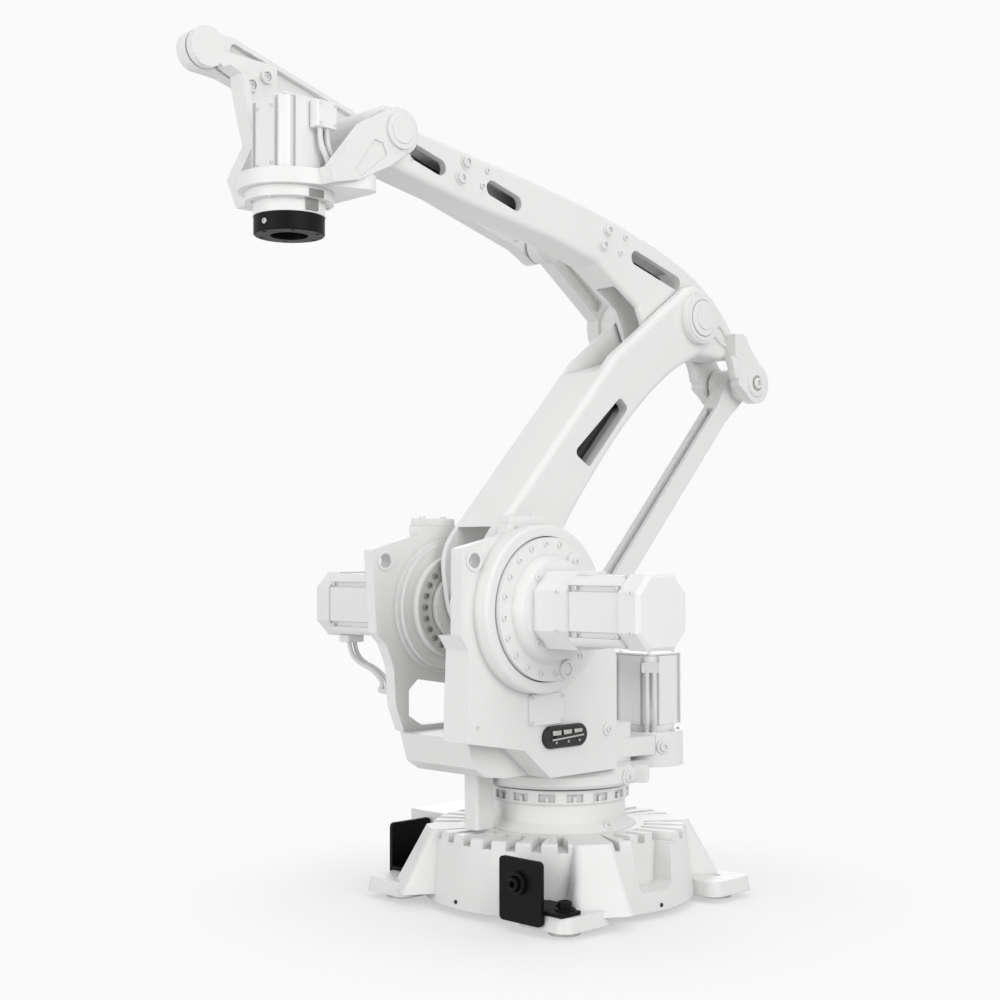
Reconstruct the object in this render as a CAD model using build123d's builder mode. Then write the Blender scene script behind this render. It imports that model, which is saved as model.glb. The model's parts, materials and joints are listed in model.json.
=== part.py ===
from build123d import *
import os
from math import atan2, cos, degrees, hypot, radians, sin

os.makedirs("parts", exist_ok=True)

# Frame: X points forwards along the arm, Y to the robot's left, Z up.
# The origin is on the swivel axis at floor level. All lengths are in millimetres.

# Fits
BEARING_GAP = 0.3
PIN_GAP = 0.5
RUNNING_GAP = 6

# Base
BASE_BOTTOM_RADIUS = 412
BASE_TOP_RADIUS = 386
BASE_TOP = 226
RIM_ROUND = 10
RIB_COUNT = 32
RIB_SLOT = 30
RIB_INNER = 262
RIB_DEPTH = 26
POCKET_LOW = 78
POCKET_WIDTH = 182
POCKET_ANGLE = 94.6
POCKET_PLACE = 16
POCKET_DEPTH = 82
FOOT_BOTTOM = 20
FOOT_TOP = 62
FOOT_REACH = BASE_BOTTOM_RADIUS + 13
FOOT_SIZE = 200
FOOT_INNER = FOOT_REACH - FOOT_SIZE
FOOT_CORNER = 40
FOOT_ANGLE = 12
PAD_RADIUS = 46
PAD_PLACE = FOOT_REACH - 85
FLOOR_BOLT_HOLE = 26
LEG_TURN = 58
LEG_INNER = 250
LEG_FOOT = BASE_BOTTOM_RADIUS + 88
LEG_FOOT_WIDTH = 176
LEG_SHOULDER = BASE_TOP_RADIUS + 18
LEG_SHOULDER_WIDTH = 112
BEARING_RADIUS = 214
BEARING_TOP = 348
BEARING_WAIST = 203
BEARING_BAND = 46
BEARING_FOOT = 236
BEARING_STEP = 24
BEARING_LUGS = 16
BEARING_POCKET = 50
BRACKET_SHEET = 12
BRACKET_HEIGHT = 206
BRACKET_LOW = 30
BRACKET_WIDTH = 161
LEFT_BRACKET_START = FOOT_REACH - 242
RIGHT_BRACKET_START = FOOT_REACH - 280
BRACKET_DEPTH = 125
BRACKET_CORNER = 14
BOX_HALF_WIDTH = 138
BOX_BACK = BASE_BOTTOM_RADIUS + 123
BOX_SUNK = 60
BOX_LOW = 55
BOX_TOP = 222
BOX_ROUND = 14

# Joint points in the side view, as (x, z)
SHOULDER = (363, 890)
LOWER_ARM_LENGTH = 1263
LOWER_ARM_ANGLE = 133.3
UPPER_ARM_LENGTH = 1354
UPPER_ARM_ANGLE = 15.5
CRANK_LENGTH = 372
CRANK_BEND = 14.3
CRANK_ANGLE = 180 + UPPER_ARM_ANGLE + CRANK_BEND
TOOL_REACH = 229
LEVEL_ARM = (339, 245)
ANCHOR_ARM = (-298, -34)

# Layers across the robot, as y
CHEEK_SHEET = 38
NEAR_CHEEK = 250
FAR_CHEEK = -158
PILLAR_DEPTH = 88
GEAR_FACE = 312
GEAR_HUB_FACE = 348
BOSS_FACE = 300
LOWER_NEAR = 152
LOWER_FAR = -50
NEAR_PRONG = 36
FAR_PRONG = 30
ELBOW_BOSS_FACE = 177
CLEVIS_SHEET = 34
TILT_FACE = 185
TILT_PRONG = 45
LINK_NEAR = -190
LINK_SHEET = 50
LEVEL_ROD_SHEET = 44

# Frame and drives
NECK_RADIUS = 250
NECK_LOW = 356
NECK_EDGE = 10
NECK_LUG = (52, 112)
NECK_LUG_TURN = 127
FLOOR_LOW = 411
FLOOR_TOP = 530
FLOOR_BACK = -150
GEAR_RADIUS = 200
GEAR_BORE = 170
GEAR_HUB_RADIUS = 152
GEAR_GROOVE = 3
GEAR_HUB_ANGLE = 22
FAR_RING_RADIUS = 198
FAR_RING_SHEET = 28
BOLT_RING_RADIUS = 152
BOLT_RING_SHEET = 22
SHOULDER_RING = 236
EAR_HOLE = (233, 135)
EAR_HOLE_RADIUS = 22
MOTOR_SIZE = 190
MOTOR_CORNER = 34
MOTOR_GROOVE = (16, 9)
MOTOR_HOUSING = 212
MOTOR_HOUSING_CORNER = 52
NEAR_HOUSING_LENGTH = 120
FAR_HOUSING_LENGTH = 140
NEAR_MOTOR_END = 716
FAR_MOTOR_END = 616
MOTOR_CAP = 70
MOTOR_CAP_CORNER = 48
SWIVEL_MOTOR_PLACE = (-310, 95)
SWIVEL_MOTOR_SIZE = 170
SWIVEL_MOTOR_TOP = 726
SWIVEL_HOUSING_RADIUS = 112
SWIVEL_HOUSING_LOW = 384
SWIVEL_HOUSING_TOP = 491
SWIVEL_NECK_TOP = 512
LOBE_LOW = 424
LOBE_TOP = 482
STOP_PAD = (-45, 107)
STOP_PAD_TOP = 238
STOP_BLOCK_HEIGHT = 22
STOP_BLOCK_INSET = 6
POST_PLACE = (300, -40)
POST_SIZE = (74, 60)
POST_CORNER = 12
POST_LOW = 236
COVER_PLACE = (-45, -283)
COVER_SIZE = (142, 88)
COVER_SHEET = 6
PANEL_PLACE = (-119, -364)
PANEL_SIZE = (180, 64)
PANEL_DEPTH = 12
LEAD_DIAMETER = 14
LEAD_PITCH = 22
SWIVEL_PLUG = (38, 54, 30)
SWIVEL_PLUG_LOW = 676

# Arms
HUB_RADIUS = 98
NEAR_HUB_RADIUS = 132
BEAM_FRONT = 186
BEAM_EDGE = 20
WINDOW_CORNER = 16
ELBOW_RADIUS = 108
ELBOW_BOSS_RADIUS = 82
ELBOW_PIN_RADIUS = 42
ELBOW_CAP_RADIUS = 58
CAP_HEIGHT = 8
HARNESS_RADIUS = 30
BEAM_HOLLOW = (883, 403)
HARNESS_PLACE = -88
UPPER_WALL = 24
UPPER_EDGE = 16
UPPER_HARNESS_RADIUS = 14
SLOT_WIDTH = 46
CRANK_SHAFT_RADIUS = 80
CRANK_BOSS_RADIUS = 62
CRANK_PIN_RADIUS = 26
CRANK_SHEET = 26
ROD_WIDTH = 68
ROD_THICKNESS = 56
ROD_EYE_RADIUS = 56
ROD_NECK = 150
ROD_FLANGE = 13
ROD_WEB = 18
CLEVIS_RADIUS = 68
LEVEL_EYE_RADIUS = 55
LEVEL_PIN_RADIUS = 22
LEVEL_ROD_ABOVE = 78
LEVEL_ROD_BELOW = 38
ANCHOR_ROD_ABOVE = 34
ANCHOR_ROD_BELOW = 34
LEVEL_ROD_FLANGE = 14
LEVEL_ROD_WEB = 12
LINK_HUB_RADIUS = 100
LINK_COLLAR_RADIUS = 88
LINK_STRUT = 74

# Wrist, heights measured from the wrist's axis
WRIST_BARREL_RADIUS = 76
WRIST_SHAFT_RADIUS = 30
WRIST_BOSS_RADIUS = 62
WRIST_CAP_RADIUS = 50
PRONG_CORNER = 30
PRONG_FOOT = 100
TILT_RING_RADIUS = 135
TILT_RING_TOP = -134
TILT_RING_LOW = -176
GEAR_RING_RADIUS = 117
GEAR_RING_LOW = -205
GEAR_NECK_RADIUS = 96
GEAR_NECK_LOW = -240
FLANGE_RADIUS = 94
FLANGE_HEIGHT = 48
FLANGE_BORE = 50
FLANGE_BORE_DEPTH = 30
FLANGE_BOLT_CIRCLE = 160
FLANGE_BOLTS = 6
FLANGE_BOLT_HOLE = 12
FLANGE_BOLT_DEPTH = 25
FLANGE_EDGE = 3
WRIST_MOTOR_SIZE = 160
WRIST_MOTOR_CORNER = 32
WRIST_MOTOR_TOP = 62
WRIST_PLUG = (66, 36, 70)
WRIST_PLUG_SHIFT = 36
WRIST_PLUG_BELOW = 15
PLUG_CORNER = 6
LEVEL_ARM_WEB = 24


def polar(point, length, angle):
    """Point at a length and an angle from another point of the side view."""
    return (point[0] + length * cos(radians(angle)), point[1] + length * sin(radians(angle)))


def offset_from(point, step):
    """Point of the side view moved by a step."""
    return (point[0] + step[0], point[1] + step[1])


def side_plane(point, angle, y):
    """Upright plane across the robot at y, its first axis turned to angle from +X."""
    along = (cos(radians(angle)), 0, sin(radians(angle)))
    return Plane(origin=(point[0], y, point[1]), x_dir=along, z_dir=(0, -1, 0))


ELBOW = polar(SHOULDER, LOWER_ARM_LENGTH, LOWER_ARM_ANGLE)
WRIST = polar(ELBOW, UPPER_ARM_LENGTH, UPPER_ARM_ANGLE)
CLEVIS = polar(ELBOW, CRANK_LENGTH, CRANK_ANGLE)
CRANK_TIP = polar(SHOULDER, CRANK_LENGTH, CRANK_ANGLE)
LEVEL_BACK = offset_from(ELBOW, LEVEL_ARM)
ANCHOR_LOW = offset_from(SHOULDER, ANCHOR_ARM)
TOOL_AXIS = WRIST[0] + TOOL_REACH
ARM_MIDDLE = (LOWER_NEAR + LOWER_FAR) / 2
FORK_NEAR = LOWER_NEAR - NEAR_PRONG
FORK_FAR = LOWER_FAR + FAR_PRONG
UPPER_NEAR = FORK_NEAR - RUNNING_GAP
UPPER_FAR = FORK_FAR + RUNNING_GAP
LEVEL_ROD_NEAR = LINK_NEAR - LINK_SHEET - RUNNING_GAP
ROD_NEAR = LOWER_NEAR - CLEVIS_SHEET - RUNNING_GAP
ROD_FAR = LOWER_FAR + CLEVIS_SHEET + RUNNING_GAP
NEAR_INSIDE = NEAR_CHEEK - CHEEK_SHEET
FAR_INSIDE = FAR_CHEEK + CHEEK_SHEET
PILLAR_INSIDE = NEAR_CHEEK - PILLAR_DEPTH
GEAR_INSIDE = LOWER_NEAR + RUNNING_GAP + 2
BOLT_RING_FACE = FAR_INSIDE + FAR_RING_SHEET + BOLT_RING_SHEET


def base_body(gap, mode):
    """Tapered round body of the base, grown by a gap, in the part being built."""
    with Locations((0, 0, FOOT_BOTTOM)):
        Cone(
            BASE_BOTTOM_RADIUS + gap, BASE_TOP_RADIUS + gap, BASE_TOP - FOOT_BOTTOM,
            align=(Align.CENTER, Align.CENTER, Align.MIN), mode=mode)


def base_legs(gap, mode):
    """Four legs that widen from the base's rim down to its feet, grown by a gap."""
    for turn in range(4):
        outwards = Plane.XY.rotated((0, 0, LEG_TURN + 90 * turn))
        sections = []
        for height, reach, width in (
                (FOOT_TOP - FOOT_CORNER / 2, LEG_FOOT, LEG_FOOT_WIDTH),
                (BASE_TOP, LEG_SHOULDER, LEG_SHOULDER_WIDTH)):
            with BuildSketch(outwards.offset(height)) as section:
                with Locations(((LEG_INNER + reach) / 2, 0)):
                    RectangleRounded(reach - LEG_INNER + 2 * gap, width + 2 * gap, FOOT_CORNER / 2)
            sections.append(section.sketch.face())
        loft(sections, mode=mode)


def base_castings():
    """Round base on four corner feet, ribbed round its top, and the bearing ring bolted on it."""
    with BuildPart() as casting:
        base_body(0, Mode.ADD)
        fillet(casting.edges().filter_by(GeomType.CIRCLE).sort_by(Axis.Z)[-1], RIM_ROUND)
        # Radial slots between the ribs
        with BuildSketch(Plane.XY.offset(BASE_TOP)):
            with PolarLocations((RIB_INNER + BASE_BOTTOM_RADIUS) / 2, RIB_COUNT):
                Rectangle(BASE_BOTTOM_RADIUS - RIB_INNER, RIB_SLOT)
        extrude(amount=-RIB_DEPTH, mode=Mode.SUBTRACT)
        for turn in range(4):
            with BuildSketch(Plane.XY.offset(FOOT_BOTTOM).rotated((0, 0, 90 * turn))):
                with Locations(((FOOT_INNER + FOOT_REACH) / 2, (FOOT_INNER + FOOT_REACH) / 2)):
                    RectangleRounded(FOOT_REACH - FOOT_INNER, FOOT_REACH - FOOT_INNER, FOOT_CORNER)
            extrude(amount=FOOT_TOP - FOOT_BOTTOM, taper=FOOT_ANGLE)
        base_legs(0, Mode.ADD)
        # Pocket in the left side, open above
        with BuildSketch(Plane.XZ.offset(-BASE_BOTTOM_RADIUS)):
            with Locations((POCKET_PLACE, POCKET_LOW)):
                Trapezoid(
                    POCKET_WIDTH, 2 * (BASE_TOP - POCKET_LOW), POCKET_ANGLE, align=(Align.CENTER, Align.MIN))
            fillet(vertices().group_by(Axis.Y)[0], FOOT_CORNER / 2)
        extrude(amount=POCKET_DEPTH, mode=Mode.SUBTRACT)
        with GridLocations(2 * PAD_PLACE, 2 * PAD_PLACE, 2, 2):
            Cylinder(FLOOR_BOLT_HOLE / 2, 2 * BASE_TOP, mode=Mode.SUBTRACT)
    casting.part.label = "base_casting"
    export_step(casting.part, "parts/base_casting.step")

    with BuildPart() as pads:
        with GridLocations(2 * PAD_PLACE, 2 * PAD_PLACE, 2, 2):
            Cylinder(PAD_RADIUS, FOOT_BOTTOM, align=(Align.CENTER, Align.CENTER, Align.MIN))
            Cylinder(FLOOR_BOLT_HOLE / 2, 2 * FOOT_BOTTOM, mode=Mode.SUBTRACT)
    pads.part.label = "foot_pads"
    export_step(pads.part, "parts/foot_pads.step")

    with BuildPart() as ring:
        band_low = BEARING_TOP - BEARING_BAND
        with BuildSketch(Plane.XZ):
            with BuildLine():
                Polyline(
                    (0, BASE_TOP), (BEARING_FOOT, BASE_TOP), (BEARING_WAIST, BASE_TOP + BEARING_STEP),
                    (BEARING_WAIST, band_low), (BEARING_RADIUS, band_low + 8), (BEARING_RADIUS, BEARING_TOP),
                    (0, BEARING_TOP), close=True)
            make_face()
        revolve(axis=Axis.Z)
        # Pockets that leave the bolt lugs standing
        with BuildSketch(Plane.XY.offset(BEARING_TOP - 10)):
            with PolarLocations(BEARING_RADIUS, BEARING_LUGS, start_angle=180 / BEARING_LUGS):
                Rectangle(2 * (BEARING_RADIUS - BEARING_WAIST), BEARING_POCKET)
        extrude(amount=-BEARING_BAND / 2, mode=Mode.SUBTRACT)
    ring.part.label = "swivel_bearing"
    export_step(ring.part, "parts/swivel_bearing.step")


def lift_bracket(turn, start, name):
    """Black angle bracket on one corner foot, for lifting the robot with a fork."""
    outer = FOOT_REACH + BRACKET_SHEET
    middle = start + BRACKET_WIDTH / 2
    with BuildPart() as bracket:
        with BuildSketch(Plane.YZ.offset(FOOT_REACH)):
            with Locations((middle, (BRACKET_LOW + BRACKET_HEIGHT) / 2)):
                RectangleRounded(BRACKET_WIDTH, BRACKET_HEIGHT - BRACKET_LOW, BRACKET_CORNER)
        extrude(amount=BRACKET_SHEET)
        with Locations((outer - BRACKET_DEPTH / 2, middle, FOOT_TOP + BRACKET_SHEET / 2)):
            Box(BRACKET_DEPTH, BRACKET_WIDTH, BRACKET_SHEET)
        # Stiffening web in the corner
        with BuildSketch(Plane.XZ.offset(-(start + BRACKET_SHEET))):
            with BuildLine():
                Polyline(
                    (FOOT_REACH, FOOT_TOP + BRACKET_SHEET),
                    (outer - BRACKET_DEPTH, FOOT_TOP + BRACKET_SHEET),
                    (FOOT_REACH, FOOT_TOP + BRACKET_DEPTH / 2), close=True)
            make_face()
        extrude(amount=BRACKET_SHEET)
        base_body(BEARING_GAP, Mode.SUBTRACT)
        base_legs(BEARING_GAP, Mode.SUBTRACT)
        with Locations((PAD_PLACE, PAD_PLACE, FOOT_TOP)):
            Cylinder(FLOOR_BOLT_HOLE, BASE_TOP, mode=Mode.SUBTRACT)
    turned = bracket.part.rotate(Axis.Z, turn)
    turned.label = name
    export_step(turned, "parts/" + name + ".step")


def connection_box():
    """Box on the base's right side that takes the robot's plugs."""
    with BuildPart() as box:
        depth = BOX_BACK - BASE_TOP_RADIUS + BOX_SUNK
        with Locations((0, -BOX_BACK + depth / 2, (BOX_LOW + BOX_TOP) / 2)):
            Box(2 * BOX_HALF_WIDTH, depth, BOX_TOP - BOX_LOW)
        fillet(box.faces().sort_by(Axis.Y)[0].edges(), BOX_ROUND)
        base_body(BEARING_GAP, Mode.SUBTRACT)
    box.part.label = "connection_box"
    export_step(box.part, "parts/connection_box.step")


def frame_castings():
    """Swivelling frame: neck, floor and the two cheeks that carry the shoulder."""
    with BuildPart() as neck:
        with BuildSketch(Plane.XZ):
            with BuildLine():
                Polyline(
                    (0, BEARING_TOP + BEARING_GAP), (BEARING_WAIST - 9, BEARING_TOP + BEARING_GAP),
                    (BEARING_WAIST - 9, NECK_LOW), (NECK_RADIUS - NECK_EDGE, NECK_LOW),
                    (NECK_RADIUS, NECK_LOW + NECK_EDGE), (NECK_RADIUS, FLOOR_LOW - 2 * NECK_EDGE),
                    (NECK_RADIUS - 2 * NECK_EDGE, FLOOR_LOW), (0, FLOOR_LOW), close=True)
            make_face()
        revolve(axis=Axis.Z)
        # Lug with the grease plug
        with BuildSketch(Plane.XY.offset(NECK_LOW).rotated((0, 0, NECK_LUG_TURN))):
            with Locations((NECK_RADIUS, 0)):
                RectangleRounded(NECK_LUG[0], NECK_LUG[1], NECK_EDGE)
        extrude(amount=FLOOR_LOW - NECK_LOW)
        with Locations((*SWIVEL_MOTOR_PLACE, SWIVEL_HOUSING_LOW)):
            Cylinder(
                SWIVEL_HOUSING_RADIUS, FLOOR_LOW - NECK_LOW, align=(Align.CENTER, Align.CENTER, Align.MIN),
                mode=Mode.SUBTRACT)
    neck.part.label = "frame_neck"
    export_step(neck.part, "parts/frame_neck.step")

    x, z = SHOULDER
    with BuildPart() as floor:
        with BuildSketch(Plane.XZ.offset(-PILLAR_INSIDE)):
            with BuildLine():
                Polyline(
                    (FLOOR_BACK, FLOOR_LOW), (x + 32, FLOOR_LOW), (x + 106, FLOOR_LOW + 10),
                    (x + 149, FLOOR_LOW + 37), (x + 175, FLOOR_TOP), (FLOOR_BACK, FLOOR_TOP), close=True)
            make_face()
        extrude(amount=PILLAR_INSIDE - FAR_INSIDE)
        # Lobe that carries the swivel motor's gear housing
        with BuildSketch(Plane.XY.offset(LOBE_LOW)):
            with Locations(SWIVEL_MOTOR_PLACE):
                Circle(SWIVEL_HOUSING_RADIUS - 12)
            with Locations((FLOOR_BACK, (PILLAR_INSIDE + FAR_INSIDE) / 2)):
                Rectangle(40, PILLAR_INSIDE - FAR_INSIDE, align=(Align.MIN, Align.CENTER))
            make_hull()
        extrude(amount=LOBE_TOP - LOBE_LOW)
        with Locations((SWIVEL_MOTOR_PLACE[0], SWIVEL_MOTOR_PLACE[1], FLOOR_TOP)):
            Cylinder(SWIVEL_HOUSING_RADIUS, 2 * FLOOR_TOP, mode=Mode.SUBTRACT)
    floor.part.label = "frame_floor"
    export_step(floor.part, "parts/frame_floor.step")

    with BuildPart() as near:
        with BuildSketch(Plane.XZ.offset(-NEAR_CHEEK)):
            cheek_outline(False)
        extrude(amount=CHEEK_SHEET)
        # Deep lower body, closed in front
        with BuildSketch(Plane.XZ.offset(-NEAR_CHEEK)):
            with BuildLine():
                Polyline(
                    (x + 285, z - 66), (x + 256, z - 107), (x + 266, FLOOR_TOP + 5), (x + 42, FLOOR_TOP - 33),
                    (x - 63, FLOOR_LOW), (x - 349, FLOOR_LOW), (x - 349, z - 145), (x, z - 66), close=True)
            make_face()
        extrude(amount=PILLAR_DEPTH)
        # Round boss of the shoulder gear
        with BuildSketch(side_plane(SHOULDER, 0, BOSS_FACE)):
            Circle(SHOULDER_RING)
        extrude(amount=BOSS_FACE - NEAR_INSIDE)
        fillet(near.faces().sort_by(Axis.Y)[-1].edges(), RIM_ROUND)
        with BuildSketch(side_plane(SHOULDER, 0, BOSS_FACE)):
            Circle(GEAR_RADIUS + GEAR_GROOVE)
        extrude(amount=BOSS_FACE - NEAR_CHEEK, mode=Mode.SUBTRACT)
        with BuildSketch(side_plane(SHOULDER, 0, BOSS_FACE)):
            Circle(GEAR_BORE)
        extrude(amount=BOSS_FACE, mode=Mode.SUBTRACT)
    near.part.label = "frame_near_cheek"
    export_step(near.part, "parts/frame_near_cheek.step")

    with BuildPart() as far:
        with BuildSketch(Plane.XZ.offset(-FAR_INSIDE)):
            cheek_outline(True)
            with BuildLine():
                Polyline(
                    (x + 142, z - 315), (x + 142, z - 240), (x + 107, z - 210), (x - 143, z - 250),
                    (x - 143, FLOOR_TOP + 15), (x + 92, FLOOR_TOP + 15), close=True)
            make_face(mode=Mode.SUBTRACT)
        extrude(amount=CHEEK_SHEET)
    far.part.label = "frame_far_cheek"
    export_step(far.part, "parts/frame_far_cheek.step")


def cheek_outline(slim):
    """Outline of a cheek in the side view, with its ear, its stop pad and the shoulder's ring."""
    x, z = SHOULDER
    with BuildLine() as edge:
        if slim:
            Polyline(
                (x + 280, z + 166), (x + 264, z - 71), (x + 229, z - 104), (x + 200, z - 171),
                (x + 191, z - 282), (x + 161, FLOOR_TOP + 4), (x + 64, FLOOR_TOP - 28), (x - 63, FLOOR_LOW),
                (x - 349, FLOOR_LOW), (x - 349, z - 145), (x - 343, z + 10), (x - 193, z + 120),
                (x + 117, z + 210), close=True)
        else:
            Polyline(
                (x + 283, z + 168), (x + 285, z - 66), (x + 256, z - 107), (x + 266, FLOOR_TOP + 5),
                (x + 42, FLOOR_TOP - 33), (x - 63, FLOOR_LOW), (x - 349, FLOOR_LOW), (x - 349, z - 145),
                (x - 193, z + 120), (x + 137, z + 200), close=True)
    make_face(edge.edges())
    fillet(vertices().sort_by(Axis.X)[-2:], RIM_ROUND)
    with Locations(SHOULDER):
        Circle(SHOULDER_RING)
    with Locations((x + (STOP_PAD[0] + STOP_PAD[1]) / 2, z + STOP_PAD_TOP)):
        Rectangle(STOP_PAD[1] - STOP_PAD[0], STOP_PAD_TOP, align=(Align.CENTER, Align.MAX))
    with Locations(offset_from(SHOULDER, EAR_HOLE)):
        Circle(EAR_HOLE_RADIUS, mode=Mode.SUBTRACT)


def motor_section(size, corner):
    """Square motor section with round corners and two grooves along each side."""
    RectangleRounded(size, size, corner)
    with PolarLocations(size / 2, 4):
        with Locations((0, size / 2 - corner), (0, corner - size / 2)):
            Rectangle(2 * MOTOR_GROOVE[1], MOTOR_GROOVE[0], mode=Mode.SUBTRACT)


def drives():
    """Shoulder gearboxes, their two motors and the swivel motor."""
    with BuildPart() as near_gear:
        for face, radius, depth in (
                (GEAR_FACE, GEAR_RADIUS, GEAR_FACE - NEAR_CHEEK),
                (NEAR_CHEEK, GEAR_BORE - BEARING_GAP, NEAR_CHEEK - GEAR_INSIDE)):
            with BuildSketch(side_plane(SHOULDER, 0, face)):
                Circle(radius)
            extrude(amount=depth)
        with BuildSketch(side_plane(SHOULDER, 0, GEAR_FACE)):
            Circle(GEAR_HUB_RADIUS)
        extrude(amount=GEAR_FACE - GEAR_HUB_FACE, taper=GEAR_HUB_ANGLE)
    near_gear.part.label = "near_gearbox"
    export_step(near_gear.part, "parts/near_gearbox.step")

    with BuildPart() as far_gear:
        for face, radius, depth in (
                (BOLT_RING_FACE, BOLT_RING_RADIUS, BOLT_RING_SHEET),
                (FAR_INSIDE + FAR_RING_SHEET, FAR_RING_RADIUS - 10, FAR_RING_SHEET / 2),
                (FAR_INSIDE + FAR_RING_SHEET / 2, FAR_RING_RADIUS, FAR_RING_SHEET / 2)):
            with BuildSketch(side_plane(SHOULDER, 0, face)):
                Circle(radius)
            extrude(amount=depth)
    far_gear.part.label = "far_gearbox"
    export_step(far_gear.part, "parts/far_gearbox.step")

    shoulder_motor("near_motor", GEAR_HUB_FACE, NEAR_HOUSING_LENGTH, NEAR_MOTOR_END, 1)
    shoulder_motor("far_motor", -FAR_CHEEK, FAR_HOUSING_LENGTH, FAR_MOTOR_END, -1)

    with BuildPart() as seat:
        for low, top, radius in (
                (SWIVEL_HOUSING_LOW, SWIVEL_HOUSING_TOP, SWIVEL_HOUSING_RADIUS),
                (SWIVEL_HOUSING_TOP, SWIVEL_NECK_TOP, SWIVEL_MOTOR_SIZE / 2)):
            with Locations((SWIVEL_MOTOR_PLACE[0], SWIVEL_MOTOR_PLACE[1], low)):
                Cylinder(radius, top - low, align=(Align.CENTER, Align.CENTER, Align.MIN))
    seat.part.label = "swivel_motor_housing"
    export_step(seat.part, "parts/swivel_motor_housing.step")

    with BuildPart() as swivel:
        with BuildSketch(Plane(origin=(*SWIVEL_MOTOR_PLACE, SWIVEL_NECK_TOP))):
            motor_section(SWIVEL_MOTOR_SIZE, MOTOR_CORNER)
        extrude(amount=SWIVEL_MOTOR_TOP - SWIVEL_NECK_TOP)
    swivel.part.label = "swivel_motor"
    export_step(swivel.part, "parts/swivel_motor.step")


def shoulder_motor(name, start, housing_length, end, side):
    """Gear housing with cut corners, grooved motor body and end cap, on the shoulder's axis."""
    middle = start + housing_length
    cap_start = end - MOTOR_CAP
    with BuildPart() as housing:
        with BuildSketch(side_plane(SHOULDER, 0, side * start)):
            Rectangle(MOTOR_HOUSING, MOTOR_HOUSING)
            chamfer(vertices(), MOTOR_HOUSING_CORNER)
        extrude(amount=-side * housing_length)
    housing.part.label = name + "_housing"
    export_step(housing.part, "parts/" + name + "_housing.step")

    with BuildPart() as body:
        with BuildSketch(side_plane(SHOULDER, 0, side * middle)):
            motor_section(MOTOR_SIZE, MOTOR_CORNER)
        extrude(amount=-side * (cap_start - middle))
    body.part.label = name
    export_step(body.part, "parts/" + name + ".step")

    with BuildPart() as cap:
        with BuildSketch(side_plane(SHOULDER, 0, side * cap_start)):
            Rectangle(MOTOR_SIZE + 10, MOTOR_SIZE + 10)
            chamfer(vertices(), MOTOR_CAP_CORNER)
        extrude(amount=-side * MOTOR_CAP)
        chamfer(cap.faces().sort_by(Axis((0, 0, 0), (0, side, 0)))[-1].edges(), RIM_ROUND)
    cap.part.label = name + "_cap"
    export_step(cap.part, "parts/" + name + "_cap.step")


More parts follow.
